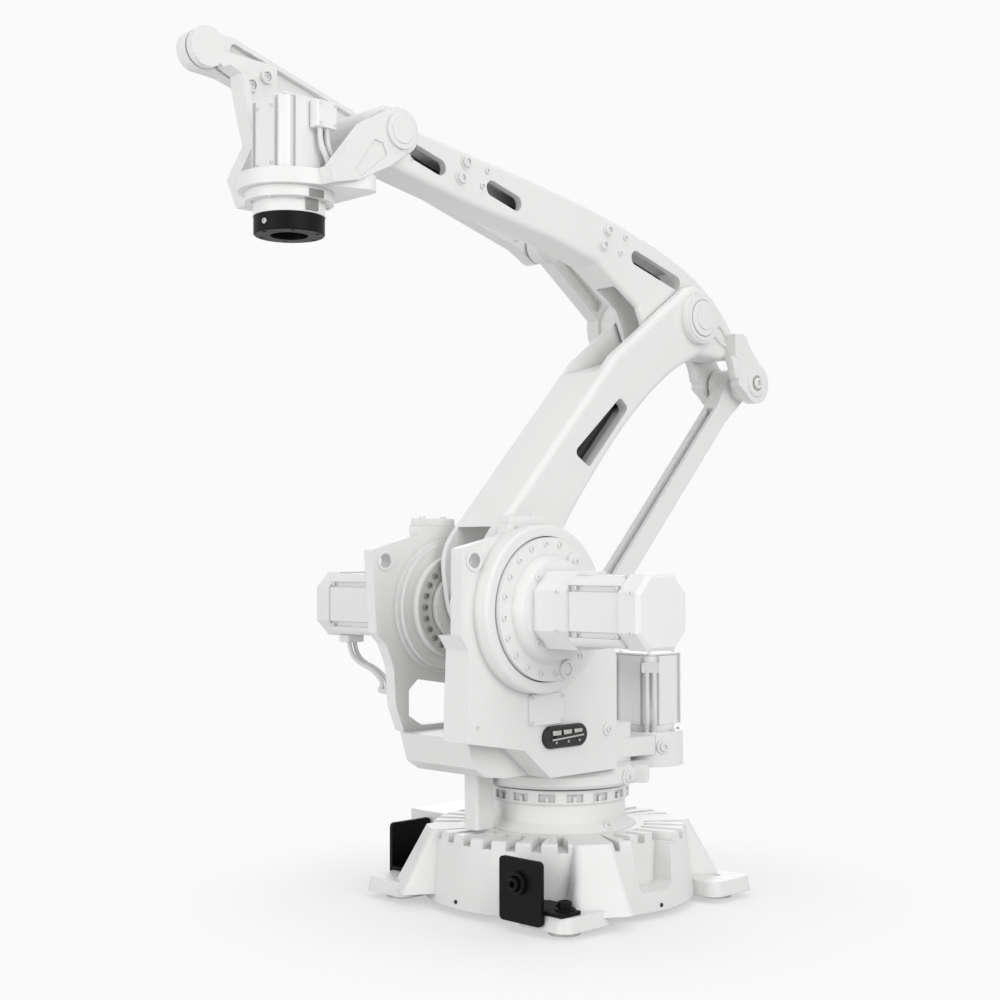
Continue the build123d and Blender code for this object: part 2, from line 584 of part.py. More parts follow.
def frame_fittings():
    """Stop blocks, swivel stop, cover plates and the leads held between housings."""
    x, z = SHOULDER
    for name, y in (("near_stop_block", NEAR_CHEEK), ("far_stop_block", FAR_INSIDE)):
        with BuildPart() as block:
            with BuildSketch(Plane.XZ.offset(-y)):
                with Locations((x + (STOP_PAD[0] + STOP_PAD[1]) / 2, z + STOP_PAD_TOP)):
                    Rectangle(
                        STOP_PAD[1] - STOP_PAD[0] - 2 * STOP_BLOCK_INSET, STOP_BLOCK_HEIGHT,
                        align=(Align.CENTER, Align.MIN))
            extrude(amount=CHEEK_SHEET)
            chamfer(block.faces().sort_by(Axis.Z)[-1].edges(), STOP_BLOCK_INSET / 2)
        block.part.label = name
        export_step(block.part, "parts/" + name + ".step")

    with BuildPart() as post:
        with BuildSketch(Plane.XY.offset(POST_LOW)):
            with Locations(POST_PLACE):
                RectangleRounded(POST_SIZE[0], POST_SIZE[1], POST_CORNER)
        extrude(amount=FLOOR_LOW - POST_LOW)
    post.part.label = "swivel_stop"
    export_step(post.part, "parts/swivel_stop.step")

    with BuildPart() as cover:
        with BuildSketch(Plane.XZ.offset(-NEAR_CHEEK)):
            with Locations(offset_from(SHOULDER, COVER_PLACE)):
                RectangleRounded(COVER_SIZE[0], COVER_SIZE[1], POST_CORNER)
        extrude(amount=-COVER_SHEET)
    cover.part.label = "service_cover"
    export_step(cover.part, "parts/service_cover.step")

    with BuildPart() as panel:
        with BuildSketch(Plane.XZ.offset(-NEAR_CHEEK)):
            with Locations(offset_from(SHOULDER, PANEL_PLACE)):
                SlotOverall(PANEL_SIZE[0], PANEL_SIZE[1])
        extrude(amount=-PANEL_DEPTH)
        chamfer(panel.faces().sort_by(Axis.Y)[-1].edges(), PANEL_DEPTH / 3)
    panel.part.label = "connector_panel"
    export_step(panel.part, "parts/connector_panel.step")

    motor_low = z - MOTOR_SIZE / 2
    with BuildPart() as far_leads:
        for side in (-LEAD_PITCH / 2, LEAD_PITCH / 2):
            lead(
                (x + 22 + side, -530, motor_low), (x + 47 + side, -400, 695), (x + 97 + side, -280, 652),
                (x + 163 + side, FAR_CHEEK, 643), ends=[(0, 0, -1), (0, 1, 0)])
    far_leads.part.label = "far_motor_leads"
    export_step(far_leads.part, "parts/far_motor_leads.step")

    # Plug on the swivel motor's front corner, with two leads down to its housing
    corner = Plane(origin=(*SWIVEL_MOTOR_PLACE, SWIVEL_PLUG_LOW)).rotated((0, 0, 45))
    with BuildPart() as swivel_leads:
        with BuildSketch(corner):
            with Locations((SWIVEL_MOTOR_SIZE / 2, 0)):
                Rectangle(SWIVEL_PLUG[0], SWIVEL_PLUG[1], align=(Align.MIN, Align.CENTER))
        extrude(amount=SWIVEL_PLUG[2])
        with BuildSketch(Plane(origin=(*SWIVEL_MOTOR_PLACE, SWIVEL_NECK_TOP))):
            motor_section(SWIVEL_MOTOR_SIZE, MOTOR_CORNER)
        extrude(amount=SWIVEL_MOTOR_TOP - SWIVEL_NECK_TOP, mode=Mode.SUBTRACT)
        for side in (-LEAD_PITCH / 2, LEAD_PITCH / 2):
            seat = SWIVEL_HOUSING_TOP - SWIVEL_PLUG_LOW
            route = [(117, side, SWIVEL_PLUG[2] / 2), (123, side, -76), (121, side, -158), (105, side, seat)]
            lead(*[corner.from_local_coords(point) for point in route], ends=[(0, 0, -1), (0, 0, -1)])
    swivel_leads.part.label = "swivel_motor_leads"
    export_step(swivel_leads.part, "parts/swivel_motor_leads.step")


def lead(*points, ends):
    """Round lead along a smooth curve through its points, in the part being built."""
    with BuildLine() as route:
        Spline(*points, tangents=ends)
    with BuildSketch(Plane(origin=points[0], z_dir=ends[0])) as section:
        Circle(LEAD_DIAMETER / 2)
    sweep(section.sketch, path=route.wire())


def lower_arm_casting():
    """Box beam bowed forwards of its two axes, forked at the elbow and open at the hub."""
    plane = side_plane(SHOULDER, LOWER_ARM_ANGLE, LOWER_NEAR)
    inside = side_plane(SHOULDER, LOWER_ARM_ANGLE, FORK_NEAR)
    clear = FORK_NEAR - FORK_FAR
    tip = LOWER_ARM_LENGTH
    hollow_start = tip - BEAM_HOLLOW[0]
    hollow_end = tip - BEAM_HOLLOW[1]
    with BuildPart() as arm:
        with BuildSketch(plane):
            with BuildLine():
                front = Polyline((tip, -ELBOW_RADIUS), (tip - 383, -BEAM_FRONT), (250, -BEAM_FRONT))
                hub = Spline(
                    front @ 1, (33, -155), (-23, -90), (-61, -24), (-66, 57), (40, HUB_RADIUS),
                    tangents=[(-1, 0), (1, 0)])
                rear = Spline(
                    hub @ 1, (120, 80), (300, 22), (480, 2), (tip - 503, -2), (tip - 153, 60),
                    (tip, ELBOW_RADIUS), tangents=[(1, 0), (1, 0.15)])
                RadiusArc(rear @ 1, front @ 0, ELBOW_RADIUS)
            make_face()
        extrude(amount=LOWER_NEAR - LOWER_FAR)
        flat = arm.faces().filter_by(Axis.Y)
        fillet(flat.edges(), BEAM_EDGE)
        # Seat on the far gearbox, and the near wall round the crank's shaft
        with BuildSketch(side_plane(SHOULDER, LOWER_ARM_ANGLE, LOWER_FAR)):
            Circle(HUB_RADIUS)
        extrude(amount=LOWER_FAR - BOLT_RING_FACE - BEARING_GAP)
        with BuildSketch(plane):
            Circle(NEAR_HUB_RADIUS)
        extrude(amount=NEAR_PRONG)
        # Fork round the upper arm
        with BuildSketch(inside):
            with BuildLine():
                Polyline(
                    (tip - 511, -220), (tip - 233, -52), (tip - 233, 240), (tip + 237, 240), (tip + 237, -220),
                    close=True)
            make_face()
        extrude(amount=clear, mode=Mode.SUBTRACT)
        # Room for the crank and the rear rod, open behind and below
        with BuildSketch(inside):
            with BuildLine():
                Polyline(
                    (340, -150), (340, 240), (-240, 240), (-240, -240), (60, -240), (200, -150), close=True)
            make_face()
        extrude(amount=clear, mode=Mode.SUBTRACT)
        with BuildSketch(plane):
            Circle(CRANK_SHAFT_RADIUS + BEARING_GAP)
        extrude(amount=NEAR_PRONG, mode=Mode.SUBTRACT)
        # Hollow of the beam, and the window into it through the near wall
        with BuildSketch(inside):
            with BuildLine():
                Polyline(
                    (hollow_start, -158), (hollow_end - 90, -158), (hollow_end, -122), (hollow_end, -30),
                    (hollow_start, -30), close=True)
            make_face()
        extrude(amount=clear, mode=Mode.SUBTRACT)
        with BuildSketch(plane):
            with BuildLine():
                Polyline((tip - 743, -114), (tip - 727, -36), (tip - 463, -34), (tip - 467, -84), close=True)
            make_face()
            fillet(vertices(), WINDOW_CORNER)
        extrude(amount=NEAR_PRONG, mode=Mode.SUBTRACT)
        # Elbow boss and the pin through the fork
        with BuildSketch(side_plane(ELBOW, LOWER_ARM_ANGLE, ELBOW_BOSS_FACE)):
            Circle(ELBOW_BOSS_RADIUS)
        extrude(amount=ELBOW_BOSS_FACE - LOWER_NEAR)
        with BuildSketch(side_plane(ELBOW, LOWER_ARM_ANGLE, LOWER_NEAR)):
            Circle(ELBOW_PIN_RADIUS)
        extrude(amount=LOWER_NEAR - LINK_NEAR + LINK_SHEET)
    arm.part.label = "lower_arm"
    export_step(arm.part, "parts/lower_arm.step")

    with BuildPart() as cap:
        with BuildSketch(side_plane(ELBOW, 0, ELBOW_BOSS_FACE + CAP_HEIGHT)):
            Circle(ELBOW_CAP_RADIUS)
        extrude(amount=CAP_HEIGHT)
        chamfer(cap.faces().sort_by(Axis.Y)[-1].edges(), CAP_HEIGHT / 4)
    cap.part.label = "elbow_cap"
    export_step(cap.part, "parts/elbow_cap.step")

    middle = side_plane(SHOULDER, LOWER_ARM_ANGLE, ARM_MIDDLE)
    with BuildPart() as harness:
        start = middle.from_local_coords((hollow_start, HARNESS_PLACE, 0))
        with BuildSketch(Plane(origin=start, z_dir=middle.x_dir)):
            Circle(HARNESS_RADIUS)
        extrude(amount=hollow_end - hollow_start)
    harness.part.label = "lower_arm_harness"
    export_step(harness.part, "parts/lower_arm_harness.step")


def crank_and_rod():
    """Crank on the shoulder's near drive, its pin, and the rear rod up to the upper arm."""
    with BuildPart() as crank:
        with BuildSketch(side_plane(SHOULDER, CRANK_ANGLE, GEAR_INSIDE - BEARING_GAP)):
            Circle(CRANK_SHAFT_RADIUS)
        extrude(amount=GEAR_INSIDE - BEARING_GAP - FORK_FAR - RUNNING_GAP)
        for y in (UPPER_NEAR, ROD_FAR + CRANK_SHEET):
            with BuildSketch(side_plane(SHOULDER, CRANK_ANGLE, y)):
                Circle(CRANK_SHAFT_RADIUS)
                with Locations((CRANK_LENGTH, 0)):
                    Circle(CRANK_BOSS_RADIUS)
                make_hull()
                with Locations((CRANK_LENGTH, 0)):
                    Circle(CRANK_PIN_RADIUS + BEARING_GAP, mode=Mode.SUBTRACT)
            extrude(amount=CRANK_SHEET)
    crank.part.label = "crank"
    export_step(crank.part, "parts/crank.step")

    with BuildPart() as pin:
        with BuildSketch(side_plane(CRANK_TIP, 0, UPPER_NEAR)):
            Circle(CRANK_PIN_RADIUS)
        extrude(amount=UPPER_NEAR - ROD_FAR)
    pin.part.label = "crank_pin"
    export_step(pin.part, "parts/crank_pin.step")

    with BuildPart() as rod:
        with BuildSketch(side_plane(CRANK_TIP, LOWER_ARM_ANGLE, ARM_MIDDLE + ROD_THICKNESS / 2)):
            rod_outline(LOWER_ARM_LENGTH, ROD_EYE_RADIUS, ROD_NECK, ROD_WIDTH / 2, ROD_WIDTH / 2)
        extrude(amount=ROD_THICKNESS)
        with BuildSketch(side_plane(CLEVIS, LOWER_ARM_ANGLE, ROD_NEAR)):
            Circle(ROD_EYE_RADIUS)
        extrude(amount=ROD_NEAR - ROD_FAR)
        # Pockets in front and behind leave an H section
        pocket = ROD_THICKNESS - 2 * ROD_FLANGE
        with BuildSketch(side_plane(CRANK_TIP, LOWER_ARM_ANGLE, ARM_MIDDLE + pocket / 2)):
            with Locations((LOWER_ARM_LENGTH / 2, 0)):
                Rectangle(LOWER_ARM_LENGTH - 2 * ROD_NECK, ROD_WIDTH)
                Rectangle(LOWER_ARM_LENGTH, ROD_WEB, mode=Mode.SUBTRACT)
        extrude(amount=pocket, mode=Mode.SUBTRACT)
        for point, gap in ((CRANK_TIP, BEARING_GAP), (CLEVIS, PIN_GAP)):
            with BuildSketch(side_plane(point, 0, ROD_NEAR)):
                Circle(CRANK_PIN_RADIUS + gap)
            extrude(amount=ROD_NEAR - ROD_FAR, mode=Mode.SUBTRACT)
    rod.part.label = "rear_rod"
    export_step(rod.part, "parts/rear_rod.step")


def rod_outline(length, eye, neck, above, below):
    """Side view of a straight rod that widens to a round eye at each end."""
    with BuildLine() as edge:
        Polyline(
            (0, -eye), (neck, -below), (length - neck, -below), (length, -eye), (length, eye),
            (length - neck, above), (neck, above), (0, eye), close=True)
    make_face(edge.edges())
    with Locations((0, 0), (length, 0)):
        Circle(eye)


def upper_arm_casting():
    """Long tapered beam with a humped back, slots in its sides and a clevis behind."""
    clevis = (-CRANK_LENGTH * cos(radians(CRANK_BEND)), -CRANK_LENGTH * sin(radians(CRANK_BEND)))
    plane = side_plane(ELBOW, UPPER_ARM_ANGLE, UPPER_NEAR)
    inside = side_plane(ELBOW, UPPER_ARM_ANGLE, UPPER_NEAR - UPPER_WALL)
    hollow = UPPER_NEAR - UPPER_FAR - 2 * UPPER_WALL
    tip = UPPER_ARM_LENGTH
    with BuildPart() as arm:
        with BuildSketch(plane):
            with BuildLine():
                top = Spline(
                    (tip, WRIST_BARREL_RADIUS - 12), (tip - 429, 118), (490, 166), (295, 174),
                    (28, 160), (-120, 121), (-250, 50))
                back = Polyline(
                    top @ 1, (-290, 0), (-262, -40), (-200, -60), (-40, -100), (100, -150), (150, -140))
                low = Polyline(
                    back @ 1, (190, -95), (235, -45), (370, -8), (449, 14), (633, 8), (tip - 349, -40),
                    (tip, -WRIST_BARREL_RADIUS + 6))
                Line(low @ 1, top @ 0)
            make_face()
        extrude(amount=UPPER_NEAR - UPPER_FAR)
        flat = arm.faces().filter_by(Axis.Y)
        fillet(flat.edges(), UPPER_EDGE)
        with BuildSketch(plane):
            Circle(ELBOW_RADIUS)
        extrude(amount=UPPER_NEAR - UPPER_FAR)
        with BuildSketch(plane):
            Circle(ELBOW_PIN_RADIUS + BEARING_GAP)
            slots = ((tip - 214, tip - 122, 10), (tip - 519, tip - 419, 40), (85, 290, 98))
            for start, end, height in slots:
                with Locations(((start + end) / 2, height)):
                    SlotOverall(end - start + SLOT_WIDTH, SLOT_WIDTH)
        extrude(amount=UPPER_NEAR - UPPER_FAR, mode=Mode.SUBTRACT)
        # Hollow beam, open to the slots
        with BuildSketch(inside):
            with BuildLine():
                Polyline(
                    (110, 70), (110, 128), (290, 142), (490, 134), (tip - 424, 86), (tip - 104, 36),
                    (tip - 104, -28), (tip - 354, -8), (640, 40), (449, 48), (300, 62), close=True)
            make_face()
        extrude(amount=hollow, mode=Mode.SUBTRACT)
        # Open underside in front of the elbow
        with BuildSketch(inside):
            with BuildLine():
                Polyline(
                    (345, -20), (300, 20), (150, 30), (125, -20), (118, -60), (120, -160), (200, -160),
                    (260, -60), close=True)
            make_face()
        extrude(amount=hollow, mode=Mode.SUBTRACT)
        # Clevis: a bridge as wide as the fork, with two cheeks behind it
        with BuildSketch(side_plane(ELBOW, UPPER_ARM_ANGLE, LOWER_NEAR)):
            with BuildLine():
                Polyline((-205, 28), (-240, 36), (-290, 0), (-262, -40), (-228, -46), close=True)
            make_face()
            fillet(vertices().group_by(Axis.X)[:2], UPPER_EDGE / 2)
        extrude(amount=LOWER_NEAR - LOWER_FAR)
        for y in (LOWER_NEAR, LOWER_FAR + CLEVIS_SHEET):
            with BuildSketch(side_plane(ELBOW, UPPER_ARM_ANGLE, y)):
                with BuildLine():
                    Polyline(
                        (-246, 44), (clevis[0], clevis[1] + CLEVIS_RADIUS),
                        (clevis[0], clevis[1] - CLEVIS_RADIUS), (-270, -130), (-248, -40), close=True)
                make_face()
                with Locations(clevis):
                    Circle(CLEVIS_RADIUS)
                with Locations(clevis):
                    Circle(CRANK_PIN_RADIUS, mode=Mode.SUBTRACT)
            extrude(amount=CLEVIS_SHEET)
        # Barrel across the wrist
        reach = TILT_FACE - TILT_PRONG - RUNNING_GAP
        with BuildSketch(side_plane(WRIST, UPPER_ARM_ANGLE, reach)):
            Circle(WRIST_BARREL_RADIUS)
        extrude(amount=2 * reach)
        with BuildSketch(side_plane(WRIST, UPPER_ARM_ANGLE, TILT_FACE)):
            Circle(WRIST_SHAFT_RADIUS + BEARING_GAP)
        extrude(amount=2 * TILT_FACE, mode=Mode.SUBTRACT)
    arm.part.label = "upper_arm"
    export_step(arm.part, "parts/upper_arm.step")

    with BuildPart() as pin:
        with BuildSketch(side_plane(CLEVIS, 0, LOWER_NEAR)):
            Circle(CRANK_PIN_RADIUS)
        extrude(amount=LOWER_NEAR - LOWER_FAR)
    pin.part.label = "clevis_pin"
    export_step(pin.part, "parts/clevis_pin.step")

    middle = side_plane(ELBOW, UPPER_ARM_ANGLE, ARM_MIDDLE)
    with BuildPart() as harness:
        with BuildLine(middle) as route:
            FilletPolyline((110, 100), (300, 100), (tip - 314, 12), (tip - 104, 12), radius=300)
        with BuildSketch(Plane(origin=route.wire() @ 0, z_dir=route.wire() % 0)):
            Circle(UPPER_HARNESS_RADIUS)
        sweep(path=route.wire())
    harness.part.label = "upper_arm_harness"
    export_step(harness.part, "parts/upper_arm_harness.step")


def levelling_linkage():
    """Elbow link and the two rods that keep the wrist level."""
    pocket_depth = (LINK_SHEET - LEVEL_ROD_WEB) / 2
    with BuildPart() as link:
        with BuildSketch(side_plane(ELBOW, 0, LINK_NEAR)):
            Circle(LINK_HUB_RADIUS)
        extrude(amount=LINK_SHEET)
        with BuildSketch(side_plane(ELBOW, 0, LOWER_FAR - RUNNING_GAP)):
            Circle(LINK_COLLAR_RADIUS)
        extrude(amount=LOWER_FAR - RUNNING_GAP - LINK_NEAR)
        for tip in (LEVEL_ARM, ANCHOR_ARM):
            angle = degrees(atan2(tip[1], tip[0]))
            length = hypot(*tip)
            with BuildSketch(side_plane(ELBOW, angle, LINK_NEAR)):
                Rectangle(length, LINK_STRUT, align=(Align.MIN, Align.CENTER))
                with Locations((length, 0)):
                    Circle(LEVEL_EYE_RADIUS)
            extrude(amount=LINK_SHEET)
            # Pockets on both sides leave an I section
            for y in (LINK_NEAR, LINK_NEAR - LINK_SHEET + pocket_depth):
                with BuildSketch(side_plane(ELBOW, angle, y)):
                    with Locations(((LINK_HUB_RADIUS + length - LEVEL_EYE_RADIUS) / 2, 0)):
                        RectangleRounded(
                            length - LEVEL_EYE_RADIUS - LINK_HUB_RADIUS - LEVEL_ROD_FLANGE,
                            LINK_STRUT - 2 * LEVEL_ROD_FLANGE, LEVEL_ROD_FLANGE)
                extrude(amount=pocket_depth, mode=Mode.SUBTRACT)
            with BuildSketch(side_plane(ELBOW, angle, LINK_NEAR - LINK_SHEET)):
                with Locations((length, 0)):
                    Circle(LEVEL_PIN_RADIUS)
            extrude(amount=RUNNING_GAP + LEVEL_ROD_SHEET)
        with BuildSketch(side_plane(ELBOW, 0, 0)):
            Circle(ELBOW_PIN_RADIUS + BEARING_GAP)
        extrude(amount=-LINK_NEAR + LINK_SHEET, mode=Mode.SUBTRACT)
    link.part.label = "elbow_link"
    export_step(link.part, "parts/elbow_link.step")

    levelling_rod(
        "upper_levelling_rod", LEVEL_BACK, UPPER_ARM_LENGTH, UPPER_ARM_ANGLE,
        LEVEL_ROD_ABOVE, LEVEL_ROD_BELOW)
    levelling_rod(
        "lower_levelling_rod", ANCHOR_LOW, LOWER_ARM_LENGTH, LOWER_ARM_ANGLE,
        ANCHOR_ROD_ABOVE, ANCHOR_ROD_BELOW)

    with BuildPart() as anchor:
        with BuildSketch(side_plane(ANCHOR_LOW, 0, FAR_CHEEK)):
            Circle(LEVEL_EYE_RADIUS)
        extrude(amount=FAR_CHEEK - LEVEL_ROD_NEAR - RUNNING_GAP, taper=6)
        with BuildSketch(side_plane(ANCHOR_LOW, 0, LEVEL_ROD_NEAR + RUNNING_GAP)):
            Circle(LEVEL_PIN_RADIUS)
        extrude(amount=RUNNING_GAP + LEVEL_ROD_SHEET)
    anchor.part.label = "levelling_anchor"
    export_step(anchor.part, "parts/levelling_anchor.step")


def levelling_rod(name, start, length, angle, above, below):
    """Straight rod of I section with an eye at each end."""
    neck = 1.5 * LEVEL_EYE_RADIUS
    depth = (LEVEL_ROD_SHEET - LEVEL_ROD_WEB) / 2
    with BuildPart() as rod:
        with BuildSketch(side_plane(start, angle, LEVEL_ROD_NEAR)):
            rod_outline(length, LEVEL_EYE_RADIUS, neck, above, below)
            with Locations((0, 0), (length, 0)):
                Circle(LEVEL_PIN_RADIUS + PIN_GAP, mode=Mode.SUBTRACT)
        extrude(amount=LEVEL_ROD_SHEET)
        for y in (LEVEL_ROD_NEAR, LEVEL_ROD_NEAR - LEVEL_ROD_SHEET + depth):
            with BuildSketch(side_plane(start, angle, y)):
                with Locations((length / 2, (above - below) / 2)):
                    RectangleRounded(
                        length - 2 * neck, above + below - 2 * LEVEL_ROD_FLANGE, LEVEL_ROD_FLANGE)
            extrude(amount=depth, mode=Mode.SUBTRACT)
    rod.part.label = name
    export_step(rod.part, "parts/" + name + ".step")


def wrist_pieces():
    """Tilt housing with its prongs and levelling arm, the wrist drive and the tool flange."""
    ring = Plane(origin=(TOOL_AXIS, 0, WRIST[1]), x_dir=(1, 0, 0), z_dir=(0, 0, 1))
    web_face = LINK_NEAR - LINK_SHEET + LEVEL_ARM_WEB
    with BuildPart() as tilt:
        with BuildSketch(ring.offset(TILT_RING_LOW)):
            Circle(TILT_RING_RADIUS)
            with Locations((PRONG_FOOT - TOOL_REACH, TILT_FACE - PRONG_CORNER),
                           (PRONG_FOOT - TOOL_REACH, PRONG_CORNER - TILT_FACE)):
                Circle(PRONG_CORNER)
            make_hull()
        extrude(amount=TILT_RING_TOP - TILT_RING_LOW)
        for y in (TILT_FACE, TILT_PRONG - TILT_FACE):
            with BuildSketch(side_plane(WRIST, 0, y)):
                with BuildLine():
                    Polyline(
                        (-35, -50), (34, -100), (143, -156), (TOOL_REACH, TILT_RING_LOW),
                        (TOOL_REACH + 11, TILT_RING_TOP), (TOOL_REACH - 6, TILT_RING_TOP + 8), (117, 3),
                        (20, 60), close=True)
                make_face()
                Circle(WRIST_BOSS_RADIUS)
            extrude(amount=TILT_PRONG)
        # Recessed panel on the near prong
        with BuildSketch(side_plane(WRIST, 0, TILT_FACE)):
            with BuildLine():
                Polyline((90, -39), (62, -44), (48, -74), (137, -147), (157, -130), close=True)
            make_face()
        extrude(amount=CAP_HEIGHT / 2, mode=Mode.SUBTRACT)
        with BuildSketch(side_plane(WRIST, 0, TILT_FACE)):
            Circle(WRIST_SHAFT_RADIUS)
        extrude(amount=2 * TILT_FACE)
        # Levelling arm: a web with a flange along its front edge
        front = [(262, -103), (210, 0), (237, 99), (254, 184), (290, 198)]
        with BuildSketch(side_plane(WRIST, 0, web_face)):
            with BuildLine():
                Polyline(
                    (TOOL_REACH, TILT_RING_LOW), *front, LEVEL_ARM, (110, 240), (110, 120), (140, -20),
                    (150, TILT_RING_LOW), close=True)
            make_face()
            with Locations(LEVEL_ARM):
                Circle(LEVEL_EYE_RADIUS)
        extrude(amount=LEVEL_ARM_WEB)
        with BuildSketch(side_plane(WRIST, 0, -TILT_FACE)):
            with BuildLine():
                Polyline(*front, *[(x - LEVEL_ARM_WEB, z) for x, z in reversed(front)], close=True)
            make_face()
            with BuildLine():
                Polyline(
                    (150, TILT_RING_LOW), (TOOL_REACH, TILT_RING_LOW), front[0], (150, front[0][1]),
                    close=True)
            make_face()
        extrude(amount=-TILT_FACE - LINK_NEAR + LINK_SHEET)
        with BuildSketch(side_plane(WRIST, 0, LINK_NEAR - LINK_SHEET)):
            with Locations(LEVEL_ARM):
                Circle(LEVEL_PIN_RADIUS)
        extrude(amount=RUNNING_GAP + LEVEL_ROD_SHEET)
    tilt.part.label = "tilt_house"
    export_step(tilt.part, "parts/tilt_house.step")

    with BuildPart() as gear:
        for low, top, radius in (
                (GEAR_RING_LOW, TILT_RING_LOW, GEAR_RING_RADIUS),
                (GEAR_NECK_LOW, GEAR_RING_LOW, GEAR_NECK_RADIUS)):
            with BuildSketch(ring.offset(low)):
                Circle(radius)
            extrude(amount=top - low)
    gear.part.label = "wrist_gearbox"
    export_step(gear.part, "parts/wrist_gearbox.step")

    with BuildPart() as flange:
        with BuildSketch(ring.offset(GEAR_NECK_LOW - BEARING_GAP)):
            Circle(FLANGE_RADIUS)
        extrude(amount=-FLANGE_HEIGHT)
        chamfer(flange.edges().sort_by(Axis.Z)[0], FLANGE_EDGE)
        face = ring.offset(GEAR_NECK_LOW - BEARING_GAP - FLANGE_HEIGHT)
        with BuildSketch(face):
            Circle(FLANGE_BORE)
        extrude(amount=FLANGE_BORE_DEPTH, mode=Mode.SUBTRACT)
        with BuildSketch(face):
            with PolarLocations(FLANGE_BOLT_CIRCLE / 2, FLANGE_BOLTS):
                Circle(FLANGE_BOLT_HOLE / 2)
        extrude(amount=FLANGE_BOLT_DEPTH, mode=Mode.SUBTRACT)
    flange.part.label = "tool_flange"
    export_step(flange.part, "parts/tool_flange.step")

    with BuildPart() as motor:
        with BuildSketch(ring.offset(TILT_RING_TOP)):
            motor_section(WRIST_MOTOR_SIZE, WRIST_MOTOR_CORNER)
        extrude(amount=WRIST_MOTOR_TOP - TILT_RING_TOP)
    motor.part.label = "wrist_motor"
    export_step(motor.part, "parts/wrist_motor.step")

    plug_middle = TOOL_AXIS - WRIST_PLUG_SHIFT
    plug_low = WRIST[1] - WRIST_PLUG_BELOW
    with BuildPart() as plug:
        with Locations((plug_middle, WRIST_MOTOR_SIZE / 2, plug_low)):
            Box(*WRIST_PLUG, align=(Align.CENTER, Align.MIN, Align.MIN))
        fillet(plug.edges().filter_by(Axis.Z), PLUG_CORNER)
    plug.part.label = "wrist_motor_plug"
    export_step(plug.part, "parts/wrist_motor_plug.step")

    lead_y = (WRIST_MOTOR_SIZE + WRIST_PLUG[1]) / 2
    with BuildPart() as leads:
        for side in (-LEAD_PITCH / 2, LEAD_PITCH / 2):
            lead(
                (plug_middle + side, lead_y, plug_low), (plug_middle - 4 + side, lead_y + 4, plug_low - 50),
                (plug_middle - 27 + side, lead_y + 7, WRIST[1] + TILT_RING_TOP),
                ends=[(0, 0, -1), (0, 0, -1)])
    leads.part.label = "wrist_motor_leads"
    export_step(leads.part, "parts/wrist_motor_leads.step")

    for name, y in (("near_wrist_cap", TILT_FACE + CAP_HEIGHT), ("far_wrist_cap", -TILT_FACE)):
        with BuildPart() as cap:
            with BuildSketch(side_plane(WRIST, 0, y)):
                Circle(WRIST_CAP_RADIUS)
            extrude(amount=CAP_HEIGHT)
        cap.part.label = name
        export_step(cap.part, "parts/" + name + ".step")


base_castings()
lift_bracket(0, LEFT_BRACKET_START, "front_left_bracket")
lift_bracket(-90, RIGHT_BRACKET_START, "front_right_bracket")
connection_box()
frame_castings()
drives()
frame_fittings()
lower_arm_casting()
crank_and_rod()
upper_arm_casting()
levelling_linkage()
wrist_pieces()
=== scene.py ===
"""Dresses the palletizing robot arm: finishes, screws, plugs and the plain studio stage."""
import bmesh
import bpy
import json
from math import atan2, cos, pi, radians, sin
from mathutils import Matrix, Vector


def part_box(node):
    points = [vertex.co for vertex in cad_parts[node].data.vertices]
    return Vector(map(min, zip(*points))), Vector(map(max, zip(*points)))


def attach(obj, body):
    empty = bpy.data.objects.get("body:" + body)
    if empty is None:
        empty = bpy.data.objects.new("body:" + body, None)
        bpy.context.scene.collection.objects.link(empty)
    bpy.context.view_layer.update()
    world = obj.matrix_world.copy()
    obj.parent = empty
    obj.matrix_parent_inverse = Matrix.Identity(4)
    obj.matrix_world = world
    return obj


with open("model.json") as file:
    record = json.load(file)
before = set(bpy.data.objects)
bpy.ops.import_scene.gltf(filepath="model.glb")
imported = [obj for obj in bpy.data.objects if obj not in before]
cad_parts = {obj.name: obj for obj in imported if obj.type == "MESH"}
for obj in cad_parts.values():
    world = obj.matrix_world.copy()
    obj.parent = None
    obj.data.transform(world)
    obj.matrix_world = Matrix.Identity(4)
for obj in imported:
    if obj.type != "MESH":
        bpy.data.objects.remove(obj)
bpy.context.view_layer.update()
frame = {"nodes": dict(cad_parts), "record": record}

bl_info = {
    "name": "Palletizing robot arm",
    "version": (1, 0, 0),
    "blender": (4, 5, 0),
    "location": "View3D > Sidebar > Robot",
    "description": "Finishes, screws and covers of a palletizing robot arm on a plain stage",
    "category": "Add Mesh",
}


def pivot(joint):
    """Point on a joint's axis."""
    rows = frame["record"]["behaviour"]["joints"]
    return Vector(next(row["pos_m"] for row in rows if row["name"] == joint))


def low(node):
    """Lowest corner of a node's box."""
    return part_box(node)[0]


def high(node):
    """Highest corner of a node's box."""
    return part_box(node)[1]


def middle(node):
    """Middle of a node's box."""
    return (low(node) + high(node)) / 2


# Axes of the robot, in metres like every place and size below
SWIVEL = pivot("swivel_turn")
SHOULDER = pivot("lower_arm_swing")
ELBOW = pivot("elbow_link_level")
WRIST = pivot("tilt_house_level")
TOOL = pivot("flange_turn")

# Pins of the linkages; those without a joint of their own are set from the elbow or the wrist
ANCHOR_PIN = pivot("lower_rod_swing")
LINK_PIN = pivot("upper_rod_swing")
REAR_LINK_PIN = ELBOW + Vector((-0.298, 0, -0.034))
CLEVIS_PIN = ELBOW + Vector((-0.323, 0, -0.185))
LEVEL_ARM_PIN = WRIST + Vector((0.339, 0, 0.245))

# Directions of the two arms at rest
LOWER_ARM_LEAN = 133.3
UPPER_ARM_TILT = -15.5

